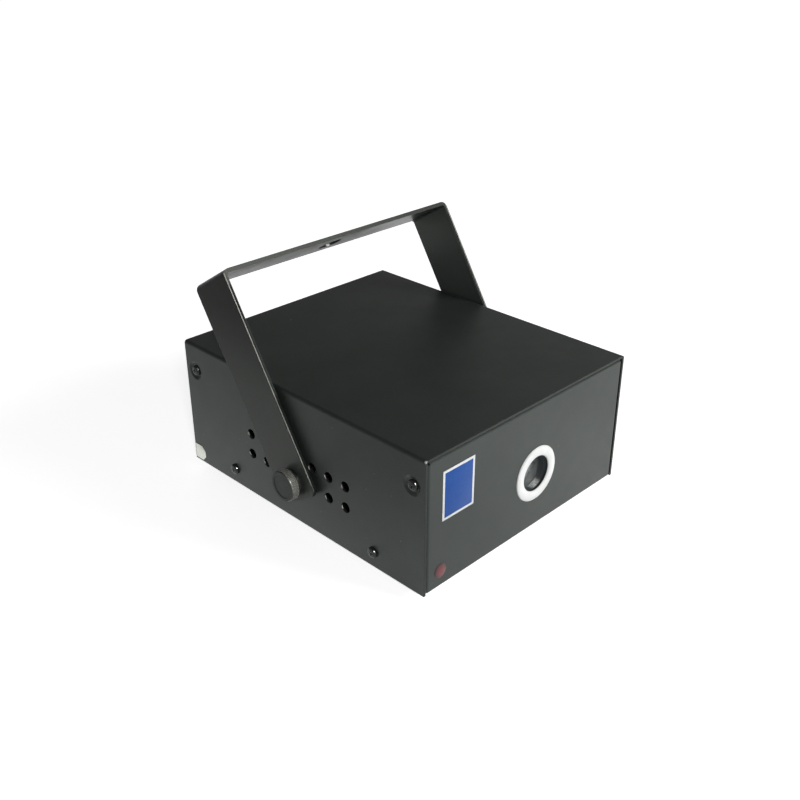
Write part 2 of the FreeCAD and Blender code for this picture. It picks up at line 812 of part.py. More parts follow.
def thumb_screw(name, side):
    """A knurled thumb screw with a collar, its head outside the bracket arm."""
    head_base = "thumb_collar_height"
    head_top = "thumb_collar_height + thumb_head_height"
    rim = "thumb_head_radius - thumb_chamfer"
    corners = [
        ("0", "-thumb_shank_length"),
        ("thumb_shank_radius", "-thumb_shank_length"),
        ("thumb_shank_radius", "0"),
        ("thumb_collar_radius", "0"),
        ("thumb_collar_radius", head_base),
        (rim, head_base),
        ("thumb_head_radius", f"{head_base} + thumb_chamfer"),
        ("thumb_head_radius", f"{head_top} - thumb_chamfer"),
        (rim, head_top),
        ("0", head_top),
    ]
    place = (f"{side} * ({ARM_OUTSIDE} + washer_height)", PIVOT_Y, PIVOT_Z)
    return turn(name, outward(side), place, corners)


def make_pivots():
    """Spacers, washers, welded nuts and thumb screws on the bracket's axis."""
    hole = "thumb_shank_radius + fit_gap"
    spacers, washers, nuts = [], [], []
    for i, side in enumerate(SIDES):
        on_axis = (PIVOT_Y, PIVOT_Z)
        outside = (f"{side} * {SIDE}", *on_axis)
        inside = (f"{side} * ({SIDE} - sheet)", *on_axis)
        on_arm = (f"{side} * {ARM_OUTSIDE}", *on_axis)
        out = outward(side)
        spacers.append(ring(f"spacer_{i}", out, outside, hole, "spacer_radius", "spacer_length"))
        washers.append(ring(f"washer_{i}", out, on_arm, hole, "washer_radius", "washer_height"))
        welded = hole, "pivot_nut_radius", "pivot_nut_height"
        nuts.append(ring(f"pivot_nut_{i}", inward(side), inside, *welded))
    return [
        group("pivot_spacers", spacers),
        group("bracket_washers", washers),
        group("pivot_nuts", nuts),
        thumb_screw("left_thumb_screw", -1),
        thumb_screw("right_thumb_screw", 1),
    ]


def make_aperture():
    """The white bezel outside the front panel and the window tube behind it."""
    outside = (APERTURE_X, FRONT, BEAM_Z)
    inside = (APERTURE_X, FRONT_INSIDE, BEAM_Z)
    bezel = ring("aperture_bezel", "-y", outside, "aperture_radius", "bezel_radius", "bezel_height")
    glass_back = "glass_depth + glass_height"
    end = f"{glass_back} + retainer_height"
    tube_radius = "aperture_radius + tube_wall"
    seat_radius = "glass_radius + fit_gap"
    tube = turn("aperture_tube", "+y", inside, [
        ("aperture_radius", "0"),
        ("tube_flange_radius", "0"),
        ("tube_flange_radius", "tube_flange_height"),
        (tube_radius, "tube_flange_height"),
        (tube_radius, end),
        (seat_radius, end),
        (seat_radius, "glass_depth"),
        ("aperture_radius", "glass_depth"),
    ])
    glass = turn("window_glass", "+y", inside, rectangle("0", "glass_radius", "glass_depth", glass_back))
    inner = "glass_radius - retainer_wall"
    retainer = turn("window_retaining_ring", "+y", inside, rectangle(inner, "glass_radius", glass_back, end))
    return [bezel, tube, glass, retainer]


def make_indicator():
    """The small red lens low on the front panel, pushed in from outside."""
    place = (f"-{SIDE} + indicator_from_left", FRONT, f"{FLOOR} + indicator_height")
    return [turn("indicator_lens", "-y", place, [
        ("0", "-indicator_stem_length"),
        ("indicator_stem_radius", "-indicator_stem_length"),
        ("indicator_stem_radius", "0"),
        ("indicator_radius", "0"),
        ("indicator_radius", "indicator_rim", "indicator_rim / 2"),
        ("0", "indicator_rim"),
    ])]


def bench_screw_places():
    x_reach = "(bench_width / 2 - bench_screw_inset)"
    middle = f"({BENCH_FRONT} + bench_length / 2)"
    y_reach = "(bench_length / 2 - bench_screw_inset)"
    return [(f"{BENCH_X} + {i} * {x_reach}", f"{middle} + {k} * {y_reach}") for i, k in CORNERS]


def make_bench():
    """The aluminium plate that carries the optics, on four standoffs."""
    left = f"{BENCH_RIGHT} - bench_width"
    plan = rectangle(left, BENCH_RIGHT, BENCH_FRONT, BENCH_BACK, "bench_corner")
    plate = extrude("optical_bench", "z", plan, BENCH_UNDER, BENCH_TOP)
    standoffs, screws = [], []
    hole = "screw_radius + fit_gap"
    for i, (x, y) in enumerate(bench_screw_places()):
        bore(plate, "z", x, y, hole)
        foot, seat = (x, y, DECK), (x, y, BENCH_TOP)
        standoffs.append(ring(f"bench_standoff_{i}", "+z", foot, hole, "standoff_radius", "bench_standoff"))
        screws.append(pan_screw(f"bench_screw_{i}", "+z", seat, "bench_screw_length"))
    return [plate, group("bench_standoffs", standoffs), group("bench_screws", screws)]


def laser(name, direction, nose):
    """A laser module: lens nose, barrel and wiring cap."""
    barrel_end = "laser_nose_length + laser_length"
    cap_end = f"{barrel_end} + laser_cap_length"
    return turn(name, direction, nose, [
        ("0", "laser_lens_depth"),
        ("laser_lens_radius", "laser_lens_depth"),
        ("laser_lens_radius", "0"),
        ("laser_nose_radius", "0"),
        ("laser_nose_radius", "laser_nose_length"),
        ("laser_radius", "laser_nose_length"),
        ("laser_radius", barrel_end),
        ("laser_cap_radius", barrel_end),
        ("laser_cap_radius", cap_end),
        ("0", cap_end),
    ])


def laser_block(name, axis, middle, low, high):
    """A finned block on the bench that clamps a laser barrel along an axis."""
    outline = comb(middle, "block_width", BENCH_TOP, f"({BEAM_Z} + block_top)", "fin_depth", BLOCK_FINS)
    block = extrude(name, axis, outline, low, high)
    bore(block, axis, middle, BEAM_Z, "laser_radius + fit_gap")
    return block


def make_lasers():
    """The green module fires forwards; the red one fires across from the left."""
    green_nose = f"({COMBINER_Y} + laser_standoff)"
    green_start = f"({green_nose} + block_setback)"
    red_nose = f"({APERTURE_X} - laser_standoff)"
    red_start = f"({red_nose} - block_setback)"
    green_end, red_end = f"{green_start} + block_length", f"{red_start} - block_length"
    return [
        laser("green_laser_module", "+y", (APERTURE_X, green_nose, BEAM_Z)),
        laser_block("green_laser_block", "y", APERTURE_X, green_start, green_end),
        laser("red_laser_module", "-x", (red_nose, COMBINER_Y, BEAM_Z)),
        laser_block("red_laser_block", "x", COMBINER_Y, red_end, red_start),
    ]


def make_combiner():
    """The dichroic plate across both beams, standing in a slotted block."""
    half, thin = "combiner_width / 2", "combiner_plate / 2"
    slot_floor = f"({BEAM_Z} - combiner_reach - combiner_slot)"
    block_top = f"({BEAM_Z} - combiner_reach)"
    across_beams = Rotation(Vector(0, 0, 1), -math.degrees(math.pi / 4))
    place = (APERTURE_X, COMBINER_Y, "0")
    plan = rectangle(f"-{half}", half, f"-{thin}", thin)
    plate = extrude("dichroic_combiner", "z", plan, slot_floor, f"{BEAM_Z} + combiner_reach")
    put(plate, place, across_beams)
    side, long = "combiner_base / 2", "combiner_base"
    base_plan = rectangle(f"-{side}", side, f"-{side}", side)
    base = extrude("combiner_base_block", "z", base_plan, BENCH_TOP, block_top)
    put(base, place)
    loose = f"{thin} + fit_gap"
    slot_plan = rectangle(f"-{long}", long, f"-({loose})", loose)
    slot = extrude("combiner_slot_cut", "z", slot_plan, slot_floor, f"{block_top} + overrun")
    put(slot, place, across_beams)
    return [cut("combiner_mount", base, [slot]), plate]


def make_wheel_drive():
    """The gobo wheel in front of the bench, on the shaft of a small geared motor."""
    low, high = f"{WHEEL_X} - motor_plate_width / 2", f"{WHEEL_X} + motor_plate_width / 2"
    foot_end = f"{MOTOR_PLATE_FRONT} + motor_plate_foot"
    plate_top = f"{BEAM_Z} + motor_plate_top"
    bracket = extrude("motor_bracket", "x", [
        (MOTOR_PLATE_FRONT, BENCH_TOP, "bend_radius + motor_plate"),
        (foot_end, BENCH_TOP),
        (foot_end, f"{BENCH_TOP} + motor_plate"),
        (MOTOR_FACE, f"{BENCH_TOP} + motor_plate", "bend_radius"),
        (MOTOR_FACE, plate_top),
        (MOTOR_PLATE_FRONT, plate_top),
    ], low, high)
    bore(bracket, "y", WHEEL_X, BEAM_Z, "motor_boss_radius + fit_gap")
    shaft_hole = "shaft_radius + fit_gap"
    motor = turn("wheel_motor", "+y", (WHEEL_X, MOTOR_FACE, BEAM_Z), [
        (shaft_hole, "-motor_plate"),
        ("motor_boss_radius", "-motor_plate"),
        ("motor_boss_radius", "0"),
        ("motor_radius", "0"),
        ("motor_radius", "motor_length", "motor_round"),
        ("0", "motor_length"),
        ("0", "motor_shaft_depth + fit_gap"),
        (shaft_hole, "motor_shaft_depth + fit_gap"),
    ])
    hub_front = "-wheel_plate"
    shaft_end = "hub_length + running_gap + motor_plate + motor_shaft_depth"
    hub = turn("wheel_hub", "+y", (WHEEL_X, WHEEL_BACK, BEAM_Z), [
        ("0", hub_front),
        ("shaft_radius", hub_front),
        ("shaft_radius", "0"),
        ("hub_radius", "0"),
        ("hub_radius", "hub_length"),
        ("shaft_radius", "hub_length"),
        ("shaft_radius", shaft_end),
        ("0", shaft_end),
    ])
    centre = (WHEEL_X, WHEEL_FRONT, BEAM_Z)
    disc = ring("wheel_disc", "+y", centre, "shaft_radius", "wheel_radius", "wheel_plate")
    holes, gratings = [], []
    for i in range(GRATINGS):
        angle = f"({i} * 360 / {GRATINGS})"
        x = f"{WHEEL_X} + wheel_pattern_radius * cos{angle}"
        z = f"{BEAM_Z} + wheel_pattern_radius * sin{angle}"
        before = (x, f"{WHEEL_FRONT} - overrun", z)
        holes.append(rod(f"grating_hole_{i}", "+y", before, "2 * overrun", "grating_hole_radius"))
        gratings.append(rod(f"grating_{i}", "-y", (x, WHEEL_FRONT, z), "grating_height", "grating_radius"))
    wheel = cut("gobo_wheel", disc, holes)
    return [bracket, motor, hub, wheel, group("gobo_gratings", gratings)]


def make_fan():
    """A square axial fan inside the rear panel, with a wire guard outside it."""
    half = "fan_side / 2"
    front = f"({REAR_INSIDE} - fan_depth)"
    plan = rectangle(
        f"{FAN_X} - {half}", f"{FAN_X} + {half}", f"{FAN_Z} - {half}", f"{FAN_Z} + {half}", "fan_corner"
    )
    square = extrude("fan_square", "y", plan, front, REAR_INSIDE)
    bore(square, "y", FAN_X, FAN_Z, "fan_bore_radius")
    for x, z in fan_screw_places():
        bore(square, "y", x, z, "screw_radius + fit_gap")
    web = rod("fan_motor_web", "+y", (FAN_X, front, FAN_Z), "fan_web", "fan_hub_radius")
    struts = []
    for i in range(FAN_STRUTS // 2):
        reach, width = "fan_bore_radius + fit_gap", "fan_strut_width / 2"
        sides = (reach, width) if i == 0 else (width, reach)
        x = (f"{FAN_X} - ({sides[0]})", f"{FAN_X} + {sides[0]}")
        z = (f"{FAN_Z} - ({sides[1]})", f"{FAN_Z} + {sides[1]}")
        struts.append(box(f"fan_strut_{i}", x, (front, f"{front} + fan_web"), z))
    axle_hole = rod("fan_axle_hole", "+y", (FAN_X, front, FAN_Z), "fan_web", "fan_axle_radius + fit_gap")
    frame = cut("fan_frame", fuse("fan_frame_solid", [square, web] + struts), [axle_hole])
    return [frame, make_fan_rotor(front)] + make_fan_guard()


def make_fan_rotor(front):
    """The hub and its pitched blades, drawn about the local Z axis and then laid along Y."""
    hub = turn("fan_hub", "+z", ("0", "0", "0"), [
        ("0", "-fan_web - running_gap"),
        ("fan_axle_radius", "-fan_web - running_gap"),
        ("fan_axle_radius", "0"),
        ("fan_hub_radius", "0"),
        ("fan_hub_radius", "fan_hub_height", "fan_hub_round"),
        ("0", "fan_hub_height"),
    ])
    blades = []
    chord, thin = "fan_blade_chord / 2", "fan_blade_thickness / 2"
    root = "fan_hub_radius - fan_hub_round"
    tip = "fan_bore_radius - fan_tip_gap"
    for i in range(FAN_BLADES):
        blade = extrude(f"fan_blade_{i}", "x", rectangle(f"-{chord}", chord, f"-{thin}", thin), root, tip)
        pitched = Rotation(Vector(1, 0, 0), number("fan_blade_pitch"))
        step = (i + BLADE_START_SHARE) / FAN_BLADES
        turned = Rotation(Vector(0, 0, 1), math.degrees(2 * math.pi * step))
        blades.append(put(blade, ("0", "0", "fan_hub_height / 2"), turned.multiply(pitched)))
    rotor = fuse("fan_rotor", [hub] + blades)
    behind_web = f"{front} + fan_web + running_gap"
    return put(rotor, (FAN_X, behind_web, FAN_Z), Rotation(Vector(0, 0, 1), DIRECTIONS["+y"]))


def make_fan_guard():
    """Concentric wire rings welded over two crossing wires that end in screw eyes."""
    middle = "guard_wire_radius + guard_lift"
    wires = []
    for i in range(GUARD_RINGS):
        hoop = doc.addObject("Part::Torus", f"guard_ring_{i}")
        bind(hoop, "Radius1", f"guard_outer_radius - {i} * guard_ring_step")
        bind(hoop, "Radius2", "guard_wire_radius")
        wires.append(put(hoop, ("0", "0", f"{middle} + guard_ring_rise")))
    eye_reach = "(fan_screw_spacing / 2)"
    diagonal = f"({eye_reach} * sqrt(2) - (guard_eye_radius + screw_radius) / 2)"
    for i, side in enumerate(SIDES):
        wire = rod(f"guard_wire_{i}", "+x", ("0", "0", "0"), f"2 * {diagonal}", "guard_wire_radius")
        slope = Rotation(Vector(0, 0, 1), math.degrees(side * math.pi / 4))
        along = Rotation(Vector(0, 0, 1), DIRECTIONS["+x"])
        start = (f"-{diagonal} / sqrt(2)", f"{-side} * {diagonal} / sqrt(2)", middle)
        wires.append(put(wire, start, slope.multiply(along)))
    eye_height = "2 * (guard_wire_radius + guard_lift)"
    for i, (x_side, y_side) in enumerate(CORNERS):
        place = (f"{x_side} * {eye_reach}", f"{y_side} * {eye_reach}", "0")
        eye = "screw_radius + fit_gap", "guard_eye_radius", eye_height
        wires.append(ring(f"guard_eye_{i}", "+z", place, *eye))
    guard = fuse("fan_guard", wires)
    put(guard, (FAN_X, REAR, FAN_Z), Rotation(Vector(0, 0, 1), DIRECTIONS["+y"]))
    screws = []
    for i, (x, z) in enumerate(fan_screw_places()):
        seat = (x, f"{REAR} + {eye_height}", z)
        screws.append(pan_screw(f"fan_screw_{i}", "+y", seat, "fan_screw_length"))
    return [guard, group("fan_screws", screws)]


def make_switch():
    """The power switch: a snap-in frame with a well, and a rocker on a cross pin."""
    def centred(middle, size):
        return (f"{middle} - ({size}) / 2", f"{middle} + ({size}) / 2")

    face = f"({REAR} + switch_flange)"
    flange = box(
        "switch_flange_plate",
        centred("switch_right", "switch_flange_width"),
        (REAR, face),
        centred(SWITCH_Z, "switch_flange_height"),
    )
    shell = box(
        "switch_shell",
        centred("switch_right", "switch_body_width"),
        (f"{REAR} - switch_body_depth", REAR),
        centred(SWITCH_Z, "switch_body_height"),
    )
    well = box(
        "switch_well",
        centred("switch_right", "rocker_width + 2 * running_gap"),
        (f"{face} - switch_well_depth", f"{face} + overrun"),
        centred(SWITCH_Z, "2 * (rocker_half_height + rocker_gap)"),
    )
    pin_half = "rocker_width / 2 + running_gap + rocker_pin_engagement"
    pivot = ("switch_right", REAR, SWITCH_Z)
    hole_start = (f"switch_right - ({pin_half}) - fit_gap", REAR, SWITCH_Z)
    hole_length = f"2 * ({pin_half} + fit_gap)"
    pin_hole = rod("rocker_pin_hole", "+x", hole_start, hole_length, "rocker_pin_radius + fit_gap")
    frame = cut("switch_body", fuse("switch_solid", [flange, shell]), [well, pin_hole])
    half = "rocker_width / 2"
    paddle = extrude("rocker_paddle", "x", [
        ("-rocker_belly", "-rocker_belly_half_height"),
        ("0", "-rocker_half_height"),
        ("rocker_rise", "-rocker_half_height"),
        ("rocker_valley", "0"),
        ("rocker_rise", "rocker_half_height"),
        ("0", "rocker_half_height"),
        ("-rocker_belly", "rocker_belly_half_height"),
    ], f"-{half}", half)
    pin = rod("rocker_pin", "+x", (f"-({pin_half})", "0", "0"), f"2 * ({pin_half})", "rocker_pin_radius")
    rocker = fuse("power_rocker", [paddle, pin])
    put(rocker, pivot, Rotation(Vector(1, 0, 0), -number("rocker_tilt")))
    return [frame, rocker]


def make_sensitivity_control():
    """A potentiometer behind the rear panel, held by a nut, with a knob on its shaft."""
    on_panel = ("control_right", REAR, CONTROL_Z)
    bore_radius = "control_shaft_radius + fit_gap"
    pot = turn("potentiometer", "+y", on_panel, [
        ("0", "-sheet - control_body_depth"),
        ("control_body_radius", "-sheet - control_body_depth"),
        ("control_body_radius", "-sheet"),
        ("control_bush_radius", "-sheet"),
        ("control_bush_radius", "control_bush_length"),
        (bore_radius, "control_bush_length"),
        (bore_radius, "-control_shaft_depth - fit_gap"),
        ("0", "-control_shaft_depth - fit_gap"),
    ])
    bush = "control_bush_radius + fit_gap"
    nut = ring("potentiometer_nut", "+y", on_panel, bush, "control_nut_radius", "control_nut_height")
    shaft_end = "knob_lift + knob_grip_depth"
    shaft = turn("potentiometer_shaft", "+y", on_panel, [
        ("0", "-control_shaft_depth"),
        ("control_shaft_radius", "-control_shaft_depth"),
        ("control_shaft_radius", shaft_end),
        ("0", shaft_end),
    ])
    knob_end = "knob_lift + knob_length"
    knob = turn("sensitivity_knob", "+y", on_panel, [
        ("knob_cavity_radius", "knob_lift"),
        ("knob_radius", "knob_lift"),
        ("knob_radius - knob_taper", knob_end, "knob_round"),
        ("0", knob_end),
        ("0", shaft_end),
        ("control_shaft_radius", shaft_end),
        ("control_shaft_radius", "knob_lift + knob_cavity_depth"),
        ("knob_cavity_radius", "knob_lift + knob_cavity_depth"),
    ])
    return [pot, nut, shaft, knob]


def make_mode_button():
    """A momentary push button: a flanged barrel, its nut inside and the plunger."""
    on_panel = ("button_right", REAR, BUTTON_Z)
    well_radius = "button_radius + fit_gap"
    well_floor = "button_flange - button_well_depth"
    barrel = turn("button_body", "+y", on_panel, [
        ("0", "-button_barrel_length"),
        ("button_barrel_radius", "-button_barrel_length"),
        ("button_barrel_radius", "0"),
        ("button_flange_radius", "0"),
        ("button_flange_radius", "button_flange", "button_round"),
        (well_radius, "button_flange"),
        (well_radius, well_floor),
        ("0", well_floor),
    ])
    behind = ("button_right", REAR_INSIDE, BUTTON_Z)
    barrel_gap = "button_barrel_radius + fit_gap"
    nut = ring("button_nut", "-y", behind, barrel_gap, "button_nut_radius", "button_nut_height")
    plunger_base = f"{well_floor} + button_travel + running_gap"
    plunger_top = f"{plunger_base} + button_length"
    plunger = turn("mode_button", "+y", on_panel, [
        ("0", plunger_base),
        ("button_radius", plunger_base),
        ("button_radius", plunger_top, "button_round"),
        ("0", plunger_top),
    ])
    return [barrel, nut, plunger]


def make_inlet():
    """The low-voltage power inlet: a flanged barrel with a centre pin, and its nut inside."""
    on_panel = ("inlet_right", REAR, INLET_Z)
    floor = "inlet_flange - inlet_bore_depth"
    pin_tip = "inlet_flange - inlet_pin_setback"
    socket = turn("dc_socket", "+y", on_panel, [
        ("0", "-inlet_barrel_length"),
        ("inlet_barrel_radius", "-inlet_barrel_length"),
        ("inlet_barrel_radius", "0"),
        ("inlet_flange_radius", "0"),
        ("inlet_flange_radius", "inlet_flange"),
        ("inlet_bore_radius", "inlet_flange"),
        ("inlet_bore_radius", floor),
        ("inlet_pin_radius", floor),
        ("inlet_pin_radius", pin_tip),
        ("0", pin_tip),
    ])
    behind = ("inlet_right", REAR_INSIDE, INLET_Z)
    barrel = "inlet_barrel_radius + fit_gap"
    nut = ring("dc_socket_nut", "-y", behind, barrel, "inlet_nut_radius", "inlet_nut_height")
    return [socket, nut]


def make_microphone():
    """The sound sensor capsule behind its hole in the rear panel."""
    start = ("microphone_right", REAR_INSIDE, MICROPHONE_Z)
    return [rod("microphone", "-y", start, "microphone_length", "microphone_radius")]


def make_driver_board():
    """The driver board on four standoffs, with its tall components."""
    half_width, half_length = "board_width / 2", "board_length / 2"
    back = f"{BOARD_FRONT} + board_length"
    plan = rectangle(f"-{half_width}", half_width, BOARD_FRONT, back)
    board = extrude("driver_board", "z", plan, BOARD_UNDER, BOARD_TOP)
    standoffs, screws = [], []
    hole = "screw_radius + fit_gap"
    for i, (side, end) in enumerate(CORNERS):
        x = f"{side} * ({half_width} - board_screw_inset)"
        y = f"{BOARD_Y} + {end} * ({half_length} - board_screw_inset)"
        bore(board, "z", x, y, hole)
        standoffs.append(
            ring(f"board_standoff_{i}", "+z", (x, y, DECK), hole, "standoff_radius", "board_standoff")
        )
        screws.append(pan_screw(f"board_screw_{i}", "+z", (x, y, BOARD_TOP), "board_screw_length"))
    capacitors, connectors = [], []
    for i in range(CAPACITORS):
        x = f"board_width * {CAPACITOR_START_SHARE} - {i} * capacitor_pitch"
        can = [
            ("0", "0"),
            ("capacitor_radius", "0"),
            ("capacitor_radius", "capacitor_length", "capacitor_round"),
            ("0", "capacitor_length"),
        ]
        capacitors.append(turn(f"capacitor_{i}", "+z", (x, BOARD_Y, BOARD_TOP), can))
    for i in range(CONNECTORS):
        x = f"board_width * {CONNECTOR_START_SHARE} + {i} * connector_pitch"
        connectors.append(make_connector(i, x))
    sink_front = f"{BOARD_Y} - sink_length / 2"
    sink_top, fin_depth = f"({BOARD_TOP} + sink_height)", "(sink_height - sink_base)"
    fins = comb("0", "sink_width", BOARD_TOP, sink_top, fin_depth, SINK_FINS)
    sink = extrude("board_heat_sink", "y", fins, sink_front, f"{sink_front} + sink_length")
    put(sink, (f"board_width * {SINK_SHARE}", "0", "0"))
    return [
        board,
        group("board_standoffs", standoffs),
        group("board_screws", screws),
        group("board_capacitors", capacitors),
        group("board_connectors", connectors),
        sink,
    ]


def make_connector(index, x):
    """An open-topped wire connector along the board's front edge."""
    top = f"{BOARD_TOP} + connector_height"
    half = "connector_width / 2"
    shell = box(
        f"connector_shell_{index}",
        (f"{x} - {half}", f"{x} + {half}"),
        (BOARD_FRONT, f"{BOARD_FRONT} + connector_length"),
        (BOARD_TOP, top),
    )
    wall = "connector_wall"
    hollow = box(
        f"connector_hollow_{index}",
        (f"{x} - {half} + {wall}", f"{x} + {half} - {wall}"),
        (f"{BOARD_FRONT} + {wall}", f"{BOARD_FRONT} + connector_length - {wall}"),
        (f"{BOARD_TOP} + {wall}", f"{top} + overrun"),
    )
    return cut(f"connector_{index}", shell, [hollow])


def make_pieces():
    """Every sub-part of the projector, from the housing inwards."""
    makers = (
        make_base_chassis,
        make_top_cover,
        make_cover_fasteners,
        make_feet,
        make_bracket,
        make_pivots,
        make_aperture,
        make_indicator,
        make_bench,
        make_lasers,
        make_combiner,
        make_wheel_drive,
        make_fan,
        make_switch,
        make_sensitivity_control,
        make_mode_button,
        make_inlet,
        make_microphone,
        make_driver_board,
    )
    return [piece for maker in makers for piece in maker()]


def check(pieces):
    """Stop if any object failed to build or any sub-part has no valid solid."""
    failed = [item.Label for item in doc.Objects if {"Invalid", "Error"} & set(item.State)]
    if failed:
        raise RuntimeError(f"failed to build: {failed}")
    for piece in pieces:
        shape = piece.Shape
        if shape.isNull() or not shape.isValid() or not shape.Solids:
            raise RuntimeError(f"no valid solid in {piece.Label}")


def main():
    fill_sizes()
    pieces = make_pieces()
    doc.recompute()
    check(pieces)
    os.makedirs("parts", exist_ok=True)
    for piece in pieces:
        piece.Shape.exportStep(f"parts/{piece.Label}.step")
        print(piece.Label, len(piece.Shape.Solids), round(piece.Shape.Volume, 1))


main()
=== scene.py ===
"""Looks of the laser show projector: coated housing, knurled clamps, glazed aperture, controls, stage."""
import math

import bmesh
import bpy
from bpy.props import FloatProperty, FloatVectorProperty, IntProperty, PointerProperty
from mathutils import Matrix, Vector


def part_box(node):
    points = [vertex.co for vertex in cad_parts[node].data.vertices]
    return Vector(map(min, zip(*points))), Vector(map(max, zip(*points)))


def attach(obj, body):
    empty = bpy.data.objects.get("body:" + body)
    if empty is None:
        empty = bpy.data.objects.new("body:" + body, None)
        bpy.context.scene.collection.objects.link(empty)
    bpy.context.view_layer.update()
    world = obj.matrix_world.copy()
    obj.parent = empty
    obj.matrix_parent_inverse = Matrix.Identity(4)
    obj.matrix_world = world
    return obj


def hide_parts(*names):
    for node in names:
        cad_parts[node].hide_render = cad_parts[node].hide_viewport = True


bl_info = {
    "name": "Laser Show Projector",
    "version": (1, 0, 0),
    "blender": (4, 5, 0),
    "location": "3D View > Sidebar > Projector",
    "description": "Dresses the packed projector and sets its studio stage",
    "category": "Object",
}

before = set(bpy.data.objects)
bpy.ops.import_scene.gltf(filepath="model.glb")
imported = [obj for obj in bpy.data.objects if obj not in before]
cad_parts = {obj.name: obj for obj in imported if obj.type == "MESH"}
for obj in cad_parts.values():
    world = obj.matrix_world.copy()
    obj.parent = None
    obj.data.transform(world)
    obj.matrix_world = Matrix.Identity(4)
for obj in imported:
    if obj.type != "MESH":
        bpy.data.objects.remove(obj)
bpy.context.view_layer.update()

MM = 0.001
SHARP = 35  # degrees
RIGHT, BACK, UP = Vector((1, 0, 0)), Vector((0, 1, 0)), Vector((0, 0, 1))


# Settings that a user would change

def length(label, text, millimetres):
    return FloatProperty(name=label, description=text, default=millimetres * MM, unit="LENGTH", precision=5)


def colour(label, text, value):
    return FloatVectorProperty(
        name=label, description=text, default=value, size=3, subtype="COLOR", min=0, max=1
    )


def point(label, text, value):
    return FloatVectorProperty(name=label, description=text, default=value, size=3, subtype="TRANSLATION")


def turn_angle(label, text, degrees):
    return FloatProperty(name=label, description=text, default=math.radians(degrees), subtype="ANGLE")


def amount(label, text, value, least=0):
    return FloatProperty(name=label, description=text, default=value, min=least)


def count(label, text, value, least=1):
    return IntProperty(name=label, description=text, default=value, min=least)


class CoatSettings(bpy.types.PropertyGroup):
    housing: colour("Housing", "Colour of the housing's powder coat", (0.03, 0.034, 0.0315))
    bracket: colour("Bracket", "Colour of the bracket's satin paint", (0.029, 0.0325, 0.0303))
    worn: colour("Worn edge", "Colour where the coat has thinned", (0.27, 0.27, 0.25))
    # The bare colour also paints glints and highlights: on the vent walls, at a corner, down the arms and in
    # the hanging hole.
    bare: colour("Bare metal", "Colour where the coat is gone", (0.78, 0.79, 0.71))
    dust: colour("Dust", "Colour of the dust specks", (0.36, 0.37, 0.34))
    bend: length("Edge round", "Radius that the light sees on a cut edge", 0.3)
    # The worn line down each arm is a painted highlight as well as wear.
    line: length("Worn line", "Width of the line worn down each arm", 0.36)
    # The hook mark is a painted glint: a bare-metal spot in the wall of the hanging hole where it faces the
    # camera.
    hole_glint: point("Hook mark", "Place rubbed bare in the wall of the hanging hole", (0.003, 0.0524, 0.1128))


class ScrewSettings(bpy.types.PropertyGroup):
    head: length("Head height", "Height of a pan head", 1.7)
    shank: length("Shank radius", "Radius of the threaded shank", 1.5)
    crown: length("Crown", "Radius of the head's rounded rim", 1.25)
    recess: length("Recess reach", "Reach of the recess from the middle", 1.65)
    slot: length("Recess width", "Width of each arm of the recess", 0.72)
    depth: length("Recess depth", "Depth of the cross recess", 1.0)


class ThumbScrewSettings(bpy.types.PropertyGroup):
    teeth: count("Teeth", "Knurl points round the rim", 60, 12)
    rows: count("Rows", "Rows of knurl points along the rim", 5)
    knurl: length("Knurl depth", "Height of a knurl point", 0.3)
    head: length("Head height", "Height of the knurled head", 4.6)
    chamfer: length("Chamfer", "Chamfer at both ends of the knurl", 0.5)
    collar: length("Collar height", "Height of the collar under the head", 0.6)
    collar_radius: length("Collar radius", "Radius of the collar", 4.6)
    shank: length("Shank radius", "Radius of the threaded shank", 2.0)
    dish: length("Dish depth", "Depth of the dish in the face", 0.25)
    rim: length("Face rim", "Width of the flat rim round the dish", 1.3)


class ApertureSettings(bpy.types.PropertyGroup):
    radius: length("Aperture", "Radius of the clear opening", 9.25)
    edge: length("Ring edge", "Chamfer of the white ring's edges", 0.45)
    ridges: count("Ridges", "Light-trap ridges in the recess", 3)
    ridge: length("Ridge depth", "Depth of a light-trap groove", 0.25)
    wall: length("Tube wall", "Wall of the tube behind the panel", 3.2)
    flange: length("Flange", "Height of the tube's flange", 1.2)
    seat: length("Glass seat", "Radius of the seat of the glass", 10.68)


class IndicatorSettings(bpy.types.PropertyGroup):
    stem: length("Stem radius", "Radius of the lens's stem", 2.9)
    rim: length("Rim", "Height of the lens at its rim", 0.12)
    core: colour("Middle", "Colour in the middle of the lens", (0.19, 0.062, 0.068))
    edge: colour("Edge", "Colour of the lens at its rim", (0.075, 0.045, 0.045))


class LabelSettings(bpy.types.PropertyGroup):
    left: length("From the left", "Gap from the left side to the label", 11.0)
    width: length("Width", "Width of the label", 20.4)
    height: length("Height", "Height of the label", 25.2)
    under: length("From below", "Height of the lower edge over the floor", 38.0)
    border: length("Border", "Width of the white border", 1.25)
    film: length("Film", "Thickness of the printed film", 0.12)
    blue: colour("Field", "Colour of the label's field", (0.026, 0.083, 0.3))
    white: colour("Border colour", "Colour of the label's border", (0.7, 0.71, 0.72))


class SealSettings(bpy.types.PropertyGroup):
    width: length("Width", "Width of the paper seal", 8.6)
    height: length("Height", "Height of the paper seal", 8.4)
    rear: length("From the rear", "Gap from the rear edge to the seal", 0.5)
    under: length("From below", "Gap from the lower edge to the seal", 0.9)
    paper: length("Paper", "Thickness of the paper", 0.14)
    clip: length("Clipped corner", "Length of the clipped corners", 2.6)
    tint: colour("Paper colour", "Colour of the aged paper", (0.84, 0.86, 0.79))


